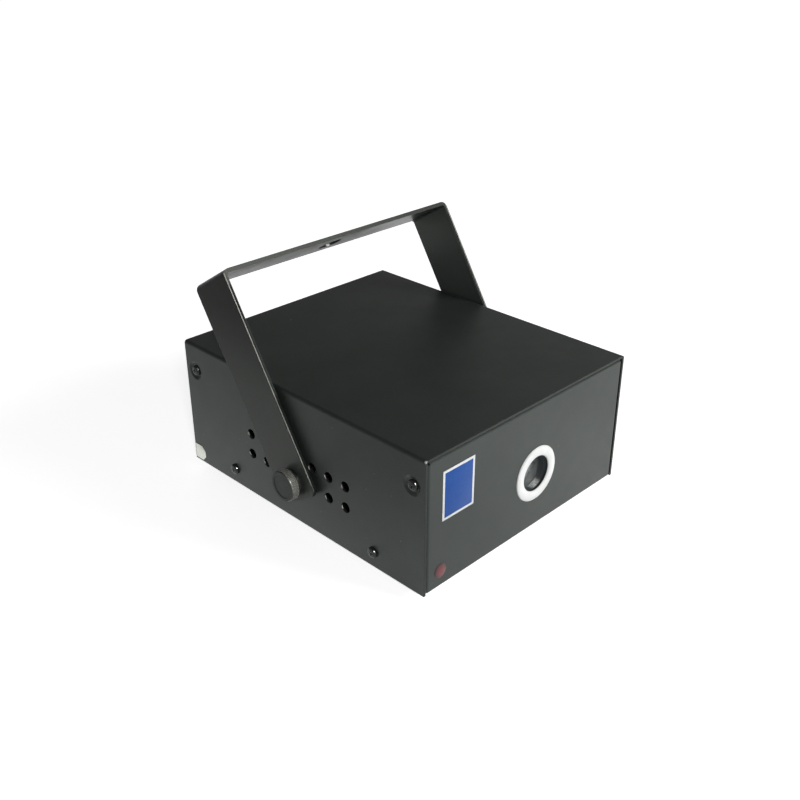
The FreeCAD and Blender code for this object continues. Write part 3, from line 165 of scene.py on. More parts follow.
class KnobSettings(bpy.types.PropertyGroup):
    flutes: count("Flutes", "Grip flutes round the knob", 20, 6)
    flute: length("Flute depth", "Depth of a grip flute", 0.45)
    skirt: length("Skirt height", "Height of the plain skirt", 1.6)
    step: length("Skirt step", "How far the grip stands in from the skirt", 0.55)
    taper: length("Taper", "How much the grip narrows to its face", 0.45)
    round: length("Face round", "Rounding of the face's edge", 0.7)
    pointer: length("Pointer width", "Width of the pointer line", 1.1)


class RockerSettings(bpy.types.PropertyGroup):
    tilt: turn_angle("Rest tilt", "Tilt of the rocker at rest", 8)
    rise: length("Crest", "Height of the rocker's ends over its pin", 3.4)
    valley: length("Valley", "Height of the rocker's middle over its pin", 2.0)
    half: length("Half height", "Half of the rocker's height", 7.4)
    mark: length("Mark height", "Height of the position marks", 3.0)
    stroke: length("Stroke", "Width of the marks' strokes", 0.62)
    print: length("Print", "Thickness of the marks' paint", 0.06)


class StageSettings(bpy.types.PropertyGroup):
    eye: point("Eye", "Place of the camera", (-0.334, -0.33511, 0.29131))
    aim: point("Aim", "Point that the camera looks at", (0.0011, -0.00296, 0.0418))
    lens: amount("Lens", "Focal length in millimetres", 45.97, 1)
    floor: length("Floor", "Width of the studio floor", 6000)
    ambient: amount("Ambient", "Strength of the even light", 0.3)
    ceiling: amount("Ceiling", "Tone of the light overhead", 0.12)
    key: amount("Key lamp", "Power of the low lamp before the front", 14.5)
    rear: amount("Rear lamp", "Power of the wide lamp behind the rear", 4.0)
    side: amount("Side lamp", "Power of the low lamp at the left and rear", 0.85)
    flash: amount("Flash", "Power of the small lamp by the camera", 0.85)


class ProjectorSettings(bpy.types.PropertyGroup):
    coat: PointerProperty(type=CoatSettings)
    screw: PointerProperty(type=ScrewSettings)
    thumb: PointerProperty(type=ThumbScrewSettings)
    aperture: PointerProperty(type=ApertureSettings)
    indicator: PointerProperty(type=IndicatorSettings)
    label: PointerProperty(type=LabelSettings)
    seal: PointerProperty(type=SealSettings)
    knob: PointerProperty(type=KnobSettings)
    rocker: PointerProperty(type=RockerSettings)
    stage: PointerProperty(type=StageSettings)


def settings():
    return bpy.context.scene.projector


# Modelling by hand: selection, turning, cutting and placing

def deselect():
    if bpy.context.object and bpy.context.object.mode != "OBJECT":
        bpy.ops.object.mode_set(mode="OBJECT")
    bpy.ops.object.select_all(action="DESELECT")


def activate(piece):
    deselect()
    piece.select_set(True)
    bpy.context.view_layer.objects.active = piece


def named(name):
    """Name the object that an operator has just added."""
    piece = bpy.context.object
    piece.name = name
    piece.data.name = name
    return piece


def edit(piece):
    activate(piece)
    bpy.ops.object.mode_set(mode="EDIT")
    bpy.ops.mesh.select_mode(type="VERT")
    bpy.ops.mesh.select_all(action="SELECT")


def leave_edit():
    bpy.ops.mesh.select_all(action="SELECT")
    bpy.ops.mesh.normals_make_consistent(inside=False)
    bpy.ops.object.mode_set(mode="OBJECT")


def select_where(kind, test):
    """Select the points, edges or faces in edit mode that pass a test."""
    mesh = bpy.context.edit_object.data
    bpy.ops.mesh.select_mode(type=kind)
    bpy.ops.mesh.select_all(action="DESELECT")
    shape = bmesh.from_edit_mesh(mesh)
    for item in {"VERT": shape.verts, "EDGE": shape.edges, "FACE": shape.faces}[kind]:
        if test(item):
            item.select_set(True)
    shape.select_flush_mode()
    bmesh.update_edit_mesh(mesh)


def squeeze(share, height=0.0):
    """Scale the selection towards the local Z axis."""
    bpy.ops.transform.resize(value=(share, share, 1), center_override=(0, 0, height))


def turned(name, rings, segments, hollow=False):
    """A solid turned about the local Z axis through rings of (radius, height), with flat ends.

    A hollow one is a closed ring: its last loop is bridged to its first.
    """
    deselect()
    radius, height = rings[0]
    fill = "NOTHING" if hollow else "NGON"
    bpy.ops.mesh.primitive_circle_add(
        vertices=segments, radius=radius, fill_type=fill, location=(0, 0, height)
    )
    piece = named(name)
    bpy.ops.object.transform_apply()
    edit(piece)
    for (radius, height), (next_radius, next_height) in zip(rings, rings[1:]):
        bpy.ops.mesh.extrude_region_move(TRANSFORM_OT_translate={"value": (0, 0, next_height - height)})
        squeeze(next_radius / radius, next_height)
    if hollow:
        last = segments * (len(rings) - 1)
        loops = set(range(segments)), set(range(last, last + segments))
        select_where("EDGE", lambda edge: any({v.index for v in edge.verts} <= loop for loop in loops))
        bpy.ops.mesh.bridge_edge_loops()
    leave_edit()
    return piece


def block(name, low, high):
    """A box between two corners, its place in its mesh."""
    deselect()
    low, high = Vector(low), Vector(high)
    bpy.ops.mesh.primitive_cube_add(size=1, location=(low + high) / 2, scale=high - low)
    piece = named(name)
    bpy.ops.object.transform_apply()
    return piece


def apply_modifier(piece, kind, **options):
    activate(piece)
    modifier = piece.modifiers.new(kind.title(), kind)
    for option, value in options.items():
        setattr(modifier, option, value)
    bpy.ops.object.modifier_apply(modifier=modifier.name)


def soften(piece, width, segments=2):
    """Round the sharp edges of a piece."""
    limit = math.radians(SHARP)
    apply_modifier(piece, "BEVEL", width=width, segments=segments, limit_method="ANGLE", angle_limit=limit)


def smooth(piece, angle=SHARP):
    activate(piece)
    bpy.ops.object.shade_smooth_by_angle(angle=math.radians(angle))


def carve(piece, cutter):
    """Cut one piece out of another and drop the cutter."""
    apply_modifier(piece, "BOOLEAN", operation="DIFFERENCE", solver="EXACT", use_self=True, object=cutter)
    bpy.data.objects.remove(cutter)


def place(piece, location, direction):
    """Point a piece's local Z axis along a direction and apply its place to its mesh."""
    activate(piece)
    piece.rotation_mode = "QUATERNION"
    piece.rotation_quaternion = UP.rotation_difference(direction)
    piece.location = location
    bpy.ops.object.transform_apply()
    return piece


def copied(piece):
    activate(piece)
    bpy.ops.object.duplicate(linked=False)
    return bpy.context.object


def joined(name, pieces):
    activate(pieces[0])
    for piece in pieces:
        piece.select_set(True)
    bpy.ops.object.join()
    return named(name)


def middle(node):
    low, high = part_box(node)
    return (low + high) / 2


def on_axis(node, depth):
    """The point on a node's middle line from front to back, at a depth."""
    centre = middle(node)
    return Vector((centre.x, depth, centre.z))


def quarter_boxes(node, axes):
    """The boxes of a node's four like solids, told apart by two axes about the node's middle."""
    centre = middle(node)
    corners = {}
    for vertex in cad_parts[node].data.vertices:
        key = tuple(vertex.co[axis] > centre[axis] for axis in axes)
        corners.setdefault(key, []).append(vertex.co)
    boxes = []
    for key in sorted(corners):
        values = list(zip(*corners[key]))
        boxes.append((Vector([min(v) for v in values]), Vector([max(v) for v in values])))
    return boxes


def finish_piece(piece, material, body, node=None):
    """Give a piece its material, its body and the node that it replaces."""
    piece.data.materials.clear()
    piece.data.materials.append(material)
    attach(piece, body)
    if node:
        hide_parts(node)


# Finishes

def rgba(value):
    return value if isinstance(value, bpy.types.NodeSocket) else (*value, 1.0)


def tinted(value, share):
    return tuple(channel * share for channel in value)


class Nodes:
    """A shader tree under construction."""

    def __init__(self, tree):
        self.tree = tree

    def add(self, kind, sockets, output=0, **options):
        """Add a node with its options, and link or set its sockets; returns one of its outputs."""
        node = self.tree.nodes.new(kind)
        for option, value in options.items():
            setattr(node, option, value)
        for socket, value in sockets.items():
            self.feed(node, socket, value)
        return node.outputs[output]

    def feed(self, node, socket, value):
        if isinstance(value, bpy.types.NodeSocket):
            self.tree.links.new(value, node.inputs[socket])
        else:
            node.inputs[socket].default_value = value

    def remap(self, value, from_low, from_high, low=0.0, high=1.0):
        sockets = {"Value": value, "From Min": from_low, "From Max": from_high, "To Min": low, "To Max": high}
        return self.add("ShaderNodeMapRange", sockets)

    def axis(self, vector, letter):
        return self.add("ShaderNodeSeparateXYZ", {0: vector}, output=letter)

    def chain(self, operation, first, *others):
        """Run a math operation over two or more values, from left to right."""
        for other in others:
            first = self.add("ShaderNodeMath", {0: first, 1: other}, operation=operation)
        return first

    def times(self, *factors):
        return self.chain("MULTIPLY", *factors)

    def most(self, *values):
        return self.chain("MAXIMUM", *values)

    def ray(self, kind):
        return self.add("ShaderNodeLightPath", {}, output=f"Is {kind} Ray")

    def backdrop_seen(self):
        """1 for rays that show the backdrop: straight, mirrored or through glass."""
        return self.most(self.ray("Camera"), self.ray("Glossy"), self.ray("Transmission"))


class Surface(Nodes):
    """A node material under construction, on object coordinates."""

    def __init__(self, name):
        self.material = bpy.data.materials.new(name)
        self.material.use_nodes = True
        super().__init__(self.material.node_tree)
        self.tree.nodes.clear()
        output = self.tree.nodes.new("ShaderNodeOutputMaterial")
        self.shader = self.tree.nodes.new("ShaderNodeBsdfPrincipled")
        self.feed(output, "Surface", self.shader.outputs[0])
        where = self.tree.nodes.new("ShaderNodeTexCoord")
        self.place, self.normal = where.outputs["Object"], where.outputs["Normal"]

    def shade(self, **sockets):
        """Set or link the principled shader's sockets, named with underscores."""
        for socket, value in sockets.items():
            self.feed(self.shader, socket.replace("_", " "), value)

    def stretched(self, scale):
        return self.add("ShaderNodeMapping", {"Vector": self.place, "Scale": scale})

    def noise(self, size, detail=3, where=None):
        """Noise whose grains are about a size across, in metres."""
        sockets = {"Vector": where or self.place, "Scale": 1 / size, "Detail": detail}
        return self.add("ShaderNodeTexNoise", sockets)

    def drift(self, size, detail, low=0.0, high=1.0, bottom=0.3, top=0.7):
        """Noise remapped to lie between two values."""
        return self.remap(self.noise(size, detail), bottom, top, low, high)

    def between(self, value, low, high, soft):
        """1 from a low to a high value, fading over a soft stretch beyond each."""
        return self.times(self.remap(value, low - soft, low), self.remap(value, high + soft, high))

    def at(self, letter):
        return self.axis(self.place, letter)

    def absolute(self, value):
        return self.add("ShaderNodeMath", {0: value}, operation="ABSOLUTE")

    def measure(self, operation, vector, other):
        sockets = {0: vector, 1: other}
        return self.add("ShaderNodeVectorMath", sockets, output="Value", operation=operation)

    def facing(self, direction, *remapping):
        """How far the surface turns towards a direction, remapped."""
        return self.remap(self.measure("DOT_PRODUCT", self.normal, direction), *remapping)

    def near(self, centre, *remapping):
        """The distance from a point, remapped."""
        return self.remap(self.measure("DISTANCE", self.place, centre), *remapping)

    def mix(self, share, first, second):
        """Blend two colours; sockets 6 and 7 are the mix node's colours and output 2 its result."""
        sockets = {0: share, 6: rgba(first), 7: rgba(second)}
        return self.add("ShaderNodeMix", sockets, output=2, data_type="RGBA")

    def cells(self, spacing, output):
        return self.add("ShaderNodeTexVoronoi", {"Vector": self.place, "Scale": 1 / spacing}, output=output)

    def specks(self, spacing, reach, share):
        """Sparse dots: one in a share of the cells, each a part of its cell across."""
        draw = self.add("ShaderNodeSeparateColor", {"Color": self.cells(spacing, "Color")})
        chosen = self.remap(draw, 1 - share, 1 - share * 0.6)
        return self.times(self.remap(self.cells(spacing, "Distance"), reach, reach * 0.55), chosen)

    def rounded(self, radius):
        return self.add("ShaderNodeBevel", {"Radius": radius}, samples=6)

    def edge(self, radius):
        """1 along convex or concave edges, 0 on flat faces."""
        flat = self.add("ShaderNodeNewGeometry", {}, output="Normal")
        return self.remap(self.measure("DOT_PRODUCT", self.rounded(radius), flat), 0.995, 0.86)

    def relief(self, height, depth, strength, edge_radius=None):
        """Bump the surface by a height, over softened edges where a radius is given."""
        sockets = {"Height": height, "Distance": depth, "Strength": strength}
        if edge_radius:
            sockets["Normal"] = self.rounded(edge_radius)
        self.shade(Normal=self.add("ShaderNodeBump", sockets))


def powder_coat(skin, tint, grain, bare, gloss, edge_radius, tones):
    """Satin coat: soft mottling, toned places, some of them painted shade and light, dust specks, edges
    thinned by handling, and bare-metal places, some of them painted glints and highlights.
    """
    coat = settings().coat
    fine = skin.noise(grain, 2)
    body = skin.mix(skin.drift(24 * MM, 4), tinted(tint, 0.9), tinted(tint, 1.1))
    body = skin.mix(skin.remap(fine, 0.4, 0.75, 0.0, 0.45), body, tinted(tint, 1.6))
    for where, share in tones:
        body = skin.mix(where, body, tinted(tint, share))
    body = skin.mix(skin.specks(5.5 * MM, 0.055, 0.08), body, coat.dust)
    scuffs = skin.drift(3.2 * MM, 4, 0.0, 0.14, 0.45, 0.7)
    body = skin.mix(skin.times(skin.edge(coat.bend), scuffs), body, coat.worn)
    skin.shade(Base_Color=skin.mix(bare, body, coat.bare))
    skin.shade(Roughness=skin.drift(9 * MM, 3, 0.32, 0.38))
    skin.shade(Specular_IOR_Level=0.28, Specular_Tint=rgba(gloss))
    skin.relief(fine, 0.03 * MM, 0.5, edge_radius)
    return skin.material


def housing_coat():
    """The housing's coat: painted glints in bare-metal colour on the vent walls that face front and up and at
    the front top corner, dark on cut edges.
    """
    coat = settings().coat
    skin = Surface("housing_paint")
    low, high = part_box("top_cover")
    outward, height = skin.absolute(skin.at("X")), skin.at("Z")
    margin, lowest_vent, highest_vent = 20 * MM, 20 * MM, 45 * MM
    lip = skin.remap(outward, high.x - 0.65 * MM, high.x - 0.4 * MM)
    columns = skin.between(skin.at("Y"), low.y + margin, high.y - margin, MM)
    rows = skin.between(height, lowest_vent, highest_vent, MM)
    # Painted glints: bare-metal colour on the outer lip of the vent walls that face front and up, towards the
    # light.
    vent_glint = skin.times(lip, columns, rows, skin.facing((0, -0.94, 0.34), 0.9, 0.98))
    # Painted glint: a bare-metal spot on the front top corner nearest the camera.
    corner_glint = skin.near((low.x, low.y, high.z), 1.3 * MM, 0.6 * MM)
    bare = skin.most(vent_glint, corner_glint)
    sheet = 1.3 * MM
    side = skin.remap(outward, high.x - sheet, high.x - 0.95 * sheet)
    top = skin.remap(height, high.z - sheet, high.z - 0.95 * sheet)
    ends = skin.remap(skin.absolute(skin.axis(skin.normal, "Y")), 0.7, 0.95)
    tones = ((skin.times(skin.most(side, top), ends), 0.3),)
    return powder_coat(skin, coat.housing, 0.55 * MM, bare, (0.87, 1.0, 0.93), coat.bend, tones)


def bracket_coat():
    """The bracket's coat: a pale line down the front of both arms that is a painted highlight as well as
    wear, painted shade on the upper outer faces, painted light on the inner faces, a painted glint in the
    hanging hole, and a little bare-metal colour on the crossbar's front face.
    """
    coat = settings().coat
    skin = Surface("bracket_paint")
    _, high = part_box("mounting_bracket")
    _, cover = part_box("top_cover")
    half, bar = coat.line / 2, 2 * MM
    outward, height = skin.absolute(skin.at("X")), skin.at("Z")
    # Painted highlight as well as wear: a pale bare-metal line on each arm's front corner, dimmer near the
    # top of the cover and brighter towards the bend.
    ridge = high.x - 0.24 * bar
    line = skin.between(outward, ridge - half, ridge + half, half / 2)
    foot = skin.remap(height, 27 * MM, 36 * MM)
    line_sheen_dip = skin.remap(height, cover.z - 13 * MM, cover.z + MM, 1.0, 0.36)
    grip = skin.remap(height, cover.z + 2 * MM, high.z - 14 * MM, 1.0, 1.7)
    lean = math.atan2(high.y, high.z)
    front = skin.facing((0, -math.cos(lean), math.sin(lean)), 0.8, 0.97)
    patchy = skin.drift(5 * MM, 4, 0.75, 1.0, 0.25, 0.6)
    worn = skin.times(line, front, foot, line_sheen_dip, grip, patchy)
    # Painted glint: a bare-metal spot in the wall of the hanging hole where it faces the camera.
    hole_glint = skin.near(coat.hole_glint, 1.2 * MM, 0.7 * MM)
    # The crossbar's top front face takes a little bare-metal colour, more towards the left end.
    side = skin.remap(skin.at("X"), -high.x, high.x, 0.11, 0.03)
    crossbar = skin.times(side, front, skin.remap(height, high.z - 7 * MM, high.z - 5 * MM))
    bare = skin.most(worn, hole_glint, crossbar)
    outer = skin.remap(outward, high.x - 0.8 * bar, high.x - 0.45 * bar)
    # Painted shade: the outer faces of the arms darken towards the bend at the top.
    upper_arm_shade = skin.times(outer, skin.remap(height, cover.z - 4 * MM, high.z - 18 * MM))
    # Painted light: the inner faces of the arms are made lighter.
    inner = skin.between(outward, high.x - 1.05 * bar, high.x - 0.95 * bar, 0.1 * bar)
    tones = ((upper_arm_shade, 0.2), (inner, 1.75))
    return powder_coat(skin, coat.bracket, 0.7 * MM, bare, (0.62, 0.65, 0.57), 1.2 * coat.bend, tones)


def moulded(name, tint, roughness, grain=0.5 * MM, relief=0.02 * MM, edge_tint=None):
    """Moulded plastic or rubber: slight tone drift, fine surface grain and paler edges."""
    skin = Surface(name)
    body = skin.mix(skin.drift(8 * MM, 3), tinted(tint, 0.93), tinted(tint, 1.05))
    rub = skin.times(skin.edge(0.25 * MM), skin.drift(2 * MM, 3, 0.0, 0.6, 0.35, 0.7))
    skin.shade(Base_Color=skin.mix(rub, body, edge_tint or tinted(tint, 1.25)))
    skin.shade(Roughness=skin.drift(5 * MM, 3, roughness * 0.85, roughness * 1.15))
    skin.relief(skin.noise(grain, 2), relief, 0.5, 0.2 * MM)
    return skin.material


def metal(name, tint, roughness, stain=0.75, metallic=1.0, streak=(1, 1, 1)):
    """Bare or plated metal: stained tone, streaks from working and brighter edges."""
    skin = Surface(name)
    body = skin.mix(skin.drift(6 * MM, 4), tinted(tint, stain), tint)
    shine = tuple(min(1.0, channel * 1.3 + 0.02) for channel in tint)
    rub = skin.times(skin.edge(0.2 * MM), skin.drift(1.5 * MM, 3, 0.1, 0.9))
    skin.shade(Base_Color=skin.mix(rub, body, shine), Metallic=metallic)
    lines = skin.noise(0.5 * MM, 3, skin.stretched(streak))
    skin.shade(Roughness=skin.remap(lines, 0.3, 0.7, roughness * 0.8, roughness * 1.25))
    skin.relief(lines, 0.008 * MM, 0.6, 0.15 * MM)
    return skin.material


def knurled_steel():
    """Blackened steel with the plating worn bright on the knurled rims of the thumb screws, mostly on the
    side that faces front and up as a painted highlight.
    """
    chamfer = settings().thumb.chamfer
    skin = Surface("knurled_steel")
    low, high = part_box("left_thumb_screw")
    centre, radius = middle("left_thumb_screw"), (high.z - low.z) / 2
    from_axis = skin.measure("DISTANCE", skin.stretched((0, 1, 1)), (0, centre.y, centre.z))
    rim = skin.remap(from_axis, radius - chamfer, radius - 0.6 * chamfer)
    grime = skin.drift(0.8 * MM, 3, 0.55, 1.0, 0.35, 0.65)
    # Painted highlight as well as wear: the bright rim is kept mostly where it faces front and up, towards
    # the light.
    rubbed_and_highlight = skin.times(rim, grime, skin.facing((0, -0.8, 0.6), 0.5, 0.95, 0.1, 1.0))
    black = skin.mix(skin.noise(3 * MM), (0.02, 0.021, 0.02), (0.032, 0.034, 0.032))
    skin.shade(Base_Color=skin.mix(rubbed_and_highlight, black, (0.8, 0.8, 0.72)))
    skin.shade(Metallic=skin.remap(rubbed_and_highlight, 0, 1, 0.1, 0.75), Roughness=skin.drift(1.2 * MM, 3, 0.34, 0.46))
    skin.shade(Specular_IOR_Level=0.24, Specular_Tint=(0.86, 1.0, 0.93, 1.0))
    skin.relief(skin.noise(0.3 * MM, 2, from_axis), 0.01 * MM, 0.6, 0.06 * MM)
    return skin.material


def screw_black():
    """Black-plated screw heads, bright where the driver has scraped the edges of the recess, with a painted
    glint where each crown faces the camera.
    """
    skin = Surface("screw_black")
    driven = skin.times(skin.edge(0.16 * MM), skin.drift(1.4 * MM, 2, 0.0, 1.0, 0.5, 0.6))
    # Painted glint: bright bare metal on each crown where it faces the camera and the flash lamp.
    rubbed_and_highlight = skin.most(driven, skin.facing((-0.53, -0.67, 0.52), 0.955, 0.985))
    black = skin.mix(skin.noise(2 * MM), (0.018, 0.019, 0.018), (0.034, 0.036, 0.034))
    skin.shade(Base_Color=skin.mix(rubbed_and_highlight, black, (0.72, 0.72, 0.69)))
    skin.shade(Metallic=skin.remap(rubbed_and_highlight, 0, 1, 0.1, 0.9), Roughness=skin.drift(1.1 * MM, 3, 0.18, 0.28))
    skin.shade(Specular_IOR_Level=0.34, Specular_Tint=(0.88, 1.0, 0.92, 1.0))
    skin.relief(skin.noise(0.3 * MM, 2), 0.006 * MM, 0.5, 0.1 * MM)
    return skin.material


def recess_black():
    """Black-anodised recess with a painted pool of light, pale and grainy, on its lower wall where the light
    falls in.
    """
    skin = Surface("recess_black")
    centre, radius = middle("aperture_tube"), settings().aperture.radius
    glass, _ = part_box("window_glass")
    light_pool = (centre.x + 0.36 * radius, glass.y - 1.1 * MM, centre.z - 0.93 * radius)
    grains = skin.drift(0.9 * MM, 3, 0.25, 1.0, 0.3, 0.65)
    # Painted pool of light: a pale, grainy patch on the lower wall near the glass.
    dust = skin.times(skin.near(light_pool, 4.0 * MM, 1.2 * MM), grains)
    black = skin.mix(skin.noise(4 * MM), (0.036, 0.041, 0.046), (0.056, 0.063, 0.068))
    skin.shade(Base_Color=skin.mix(dust, black, (0.88, 0.91, 0.89)), Specular_IOR_Level=0.4)
    skin.shade(Roughness=skin.drift(2 * MM, 3, 0.4, 0.52))
    skin.relief(skin.noise(0.5 * MM, 2), 0.01 * MM, 0.5, 0.1 * MM)
    return skin.material


def window_glass():
    """The window, under an even film of dust."""
    skin = Surface("window_glass")
    film = skin.drift(3.5 * MM, 4)
    dust = skin.most(film, skin.specks(2.2 * MM, 0.1, 0.2))
    skin.shade(Base_Color=skin.mix(dust, (0.42, 0.46, 0.46), (0.55, 0.57, 0.56)), IOR=1.5)
    skin.shade(Transmission_Weight=skin.remap(dust, 0, 1, 0.86, 0.74))
    skin.shade(Roughness=skin.remap(film, 0, 1, 0.05, 0.14))
    return skin.material


def coated_glass(name, tint, clear, roughness):
    """Thin optical glass with a coloured coating."""
    skin = Surface(name)
    skin.shade(Base_Color=skin.mix(skin.drift(3 * MM, 3), tinted(tint, 0.85), tint))
    skin.shade(Roughness=skin.drift(2 * MM, 2, roughness * 0.6, roughness * 1.4))
    skin.shade(Transmission_Weight=clear, IOR=1.52)
    return skin.material


def red_lens():
    """Dull red lens, its colour fading into the dark of its rim."""
    size = settings().indicator
    low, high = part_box("indicator_lens")
    skin = Surface("red_lens")
    radius = (high.z - low.z) / 2
    fade = skin.near(on_axis("indicator_lens", low.y), 0.45 * radius, 1.02 * radius)
    core = skin.mix(skin.drift(1.6 * MM, 3, 0.85, 1.0), tinted(size.core, 0.7), size.core)
    skin.shade(Base_Color=skin.mix(fade, core, size.edge), Specular_IOR_Level=0.28)
    skin.shade(Roughness=skin.drift(1.1 * MM, 2, 0.4, 0.55), Subsurface_Weight=0.15, Subsurface_Scale=MM)
    skin.relief(skin.cells(0.7 * MM, "Distance"), 0.02 * MM, 0.3)
    return skin.material


def board_laminate():
    """Green solder mask with faint copper runs under it."""
    skin = Surface("board_laminate")
    bands = {"Vector": skin.place, "Scale": 1 / (3 * MM)}
    runs = skin.add("ShaderNodeTexWave", bands, bands_direction="X", wave_profile="SAW")
    copper = skin.remap(runs, 0.7, 0.76, 0.0, 0.6)
    mask = skin.mix(copper, (0.012, 0.085, 0.035), (0.03, 0.15, 0.06))
    pads = skin.specks(4 * MM, 0.2, 0.5)
    skin.shade(Base_Color=skin.mix(pads, mask, (0.55, 0.56, 0.55)))
    skin.shade(Roughness=skin.drift(4 * MM, 3, 0.28, 0.45))
    skin.relief(runs, 0.02 * MM, 0.4)
    return skin.material


def paper_film(name, tint, fibre, roughness, metallic=0.0):
    """Printed film or silvered paper: faint fibres and soiled places."""
    skin = Surface(name)
    strands = skin.noise(fibre, 5)
    body = skin.mix(skin.remap(strands, 0.3, 0.7), tinted(tint, 0.9), tinted(tint, 1.06))
    soil = skin.drift(4 * MM, 4, 0.0, 0.35, 0.52, 0.75)
    skin.shade(Base_Color=skin.mix(soil, body, tinted(tint, 0.72)), Specular_IOR_Level=0.1, Metallic=metallic)
    skin.shade(Roughness=skin.remap(strands, 0.3, 0.7, roughness * 0.85, roughness * 1.15))
    skin.relief(strands, 0.01 * MM, 0.5)
    return skin.material


# Metals: tint, roughness, share of the tint left in stains, metallic and stretch of the streaks
METALS = {
    "black_steel": ((0.04, 0.042, 0.04), 0.24, 0.6, 0.35),
    "steel": ((0.5, 0.5, 0.49), 0.32),
    "black_anodised": ((0.052, 0.055, 0.058), 0.46, 0.75, 0.2),
    "aluminium": ((0.62, 0.63, 0.64), 0.36, 0.75, 1.0, (1, 1, 14)),
    "brass": ((0.6, 0.45, 0.2), 0.3),
    "guard_chrome": ((0.6, 0.6, 0.61), 0.16, 0.85),
}

# Plastics and rubber: tint, roughness, grain, relief and tint of the edges
PLASTICS = {
    "foot_rubber": ((0.018, 0.018, 0.018), 0.85, 0.3 * MM, 0.05 * MM),
    "white_plastic": ((0.8, 0.81, 0.8), 0.42, 0.5 * MM, 0.02 * MM, (0.86, 0.86, 0.85)),
    "black_plastic": ((0.022, 0.022, 0.023), 0.55),
    "black_gloss_plastic": ((0.018, 0.018, 0.019), 0.22),
    "capacitor_sleeve": ((0.02, 0.025, 0.05), 0.35),
    "knob_plastic": ((0.024, 0.024, 0.025), 0.48, 0.25 * MM, 0.03 * MM),
    "button_red": ((0.45, 0.02, 0.022), 0.32),
}

# Optical glass: tint, how clear it is and roughness
GLASSES = {
    "dichroic_glass": ((0.75, 0.55, 0.85), 0.7, 0.06),
    "grating_glass": ((0.8, 0.86, 0.88), 0.85, 0.12),
}


def make_finishes():
    """One material for each finish of the record and of the new pieces, by its name."""
    made = {
        "housing_paint": housing_coat(),
        "bracket_paint": bracket_coat(),
        "knurled_steel": knurled_steel(),
        "screw_black": screw_black(),
        "recess_black": recess_black(),
        "window_glass": window_glass(),
        "red_lens": red_lens(),
        "board_green": board_laminate(),
    }
    for build, table in ((metal, METALS), (moulded, PLASTICS), (coated_glass, GLASSES)):
        made.update({name: build(name, *look) for name, look in table.items()})
    return made


finishes = {}


class PROJECTOR_OT_dress(bpy.types.Operator):
    """Give every carried-over part the finish of its slot"""
    bl_idname = "projector.dress"
    bl_label = "Dress parts"

    def execute(self, context):
        finishes.update(make_finishes())
        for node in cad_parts.values():
            slot = node.material_slots[0].material.name.split(".")[0]
            node.material_slots[0].material = finishes[slot]
        return {"FINISHED"}


# Fasteners

def pan_screw(shank_length, radius):
    """A cross-recessed pan screw on its local Z axis, its head's underside at zero."""
    size = settings().screw
    rings = [(size.shank, -shank_length), (size.shank, 0), (radius, 0), (radius, size.head - size.crown)]
    steps, sweep = 5, 0.92 * math.pi / 2
    for step in range(1, steps + 1):
        angle = sweep * step / steps
        inset, drop = size.crown * (1 - math.cos(angle)), size.crown * (1 - math.sin(angle))
        rings.append((radius - inset, size.head - drop))
    screw = turned("pan_screw", rings, segments=40)
    half, floor, taper = size.slot / 2, size.head - size.depth, 0.55
    blades = []
    for reach, width in ((size.recess, half), (half, size.recess)):
        blade = block("recess_blade", (-reach, -width, floor), (reach, width, size.head + size.crown))
        edit(blade)
        select_where("FACE", lambda face: face.normal.z < -0.5)
        squeeze(taper, floor)
        leave_edit()
        blades.append(blade)
    carve(screw, joined("recess", blades))
    smooth(screw, angle=40)
    return screw


def screw_set(node, axes, outward):
    """Model one screw and set copies of it in the places of a node's four plain ones."""
    head = settings().screw.head
    seats = []
    for low, high in quarter_boxes(node, axes):
        centre = (low + high) / 2
        direction = outward(centre)
        reach = (high - low).dot(Vector([abs(part) for part in direction]))
        radius = (high - low).dot(UP) / 2
        seats.append((centre + direction * (reach / 2 - head), direction))
    model = pan_screw(reach - head, radius)
    piece = joined(f"{node}_cross_head", [place(copied(model), *seat) for seat in seats])
    bpy.data.objects.remove(model)
    finish_piece(piece, finishes["screw_black"], "housing", node)


class PROJECTOR_OT_screws(bpy.types.Operator):
    """Model the cross-recessed pan screws of the cover and the fan, each set from one screw"""
    bl_idname = "projector.screws"
    bl_label = "Housing screws"

    def execute(self, context):
        def sideways(centre):
            return RIGHT * math.copysign(1, centre.x)

        screw_set("upper_cover_screws", (0, 1), sideways)
        screw_set("lower_cover_screws", (0, 1), sideways)
        screw_set("fan_screws", (0, 2), lambda centre: BACK)
        return {"FINISHED"}


def knurled_screw(radius, reach):
    """A thumb screw on its local Z axis, its collar's underside at zero."""
    size = settings().thumb
    top = size.collar + size.head
    rim, root = radius - size.chamfer, radius - size.knurl
    start, end = size.collar + size.chamfer, top - size.chamfer
    rings = [(size.shank, top - reach), (size.shank, 0), (size.collar_radius, 0)]
    rings += [(size.collar_radius, size.collar), (rim, size.collar)]
    rings += [(root, start + (end - start) * row / size.rows) for row in range(size.rows + 1)]
    rings += [(rim, top), (rim - size.rim, top), (rim - size.rim - size.dish, top - size.dish)]
    screw = turned("thumb_screw", rings, size.teeth)
    edit(screw)
    select_where("FACE", lambda face: start < face.calc_center_median().z < end and abs(face.normal.z) < 0.5)
    bpy.ops.mesh.poke(offset=size.knurl, center_mode="MEDIAN")
    leave_edit()
    smooth(screw, angle=20)
    return screw


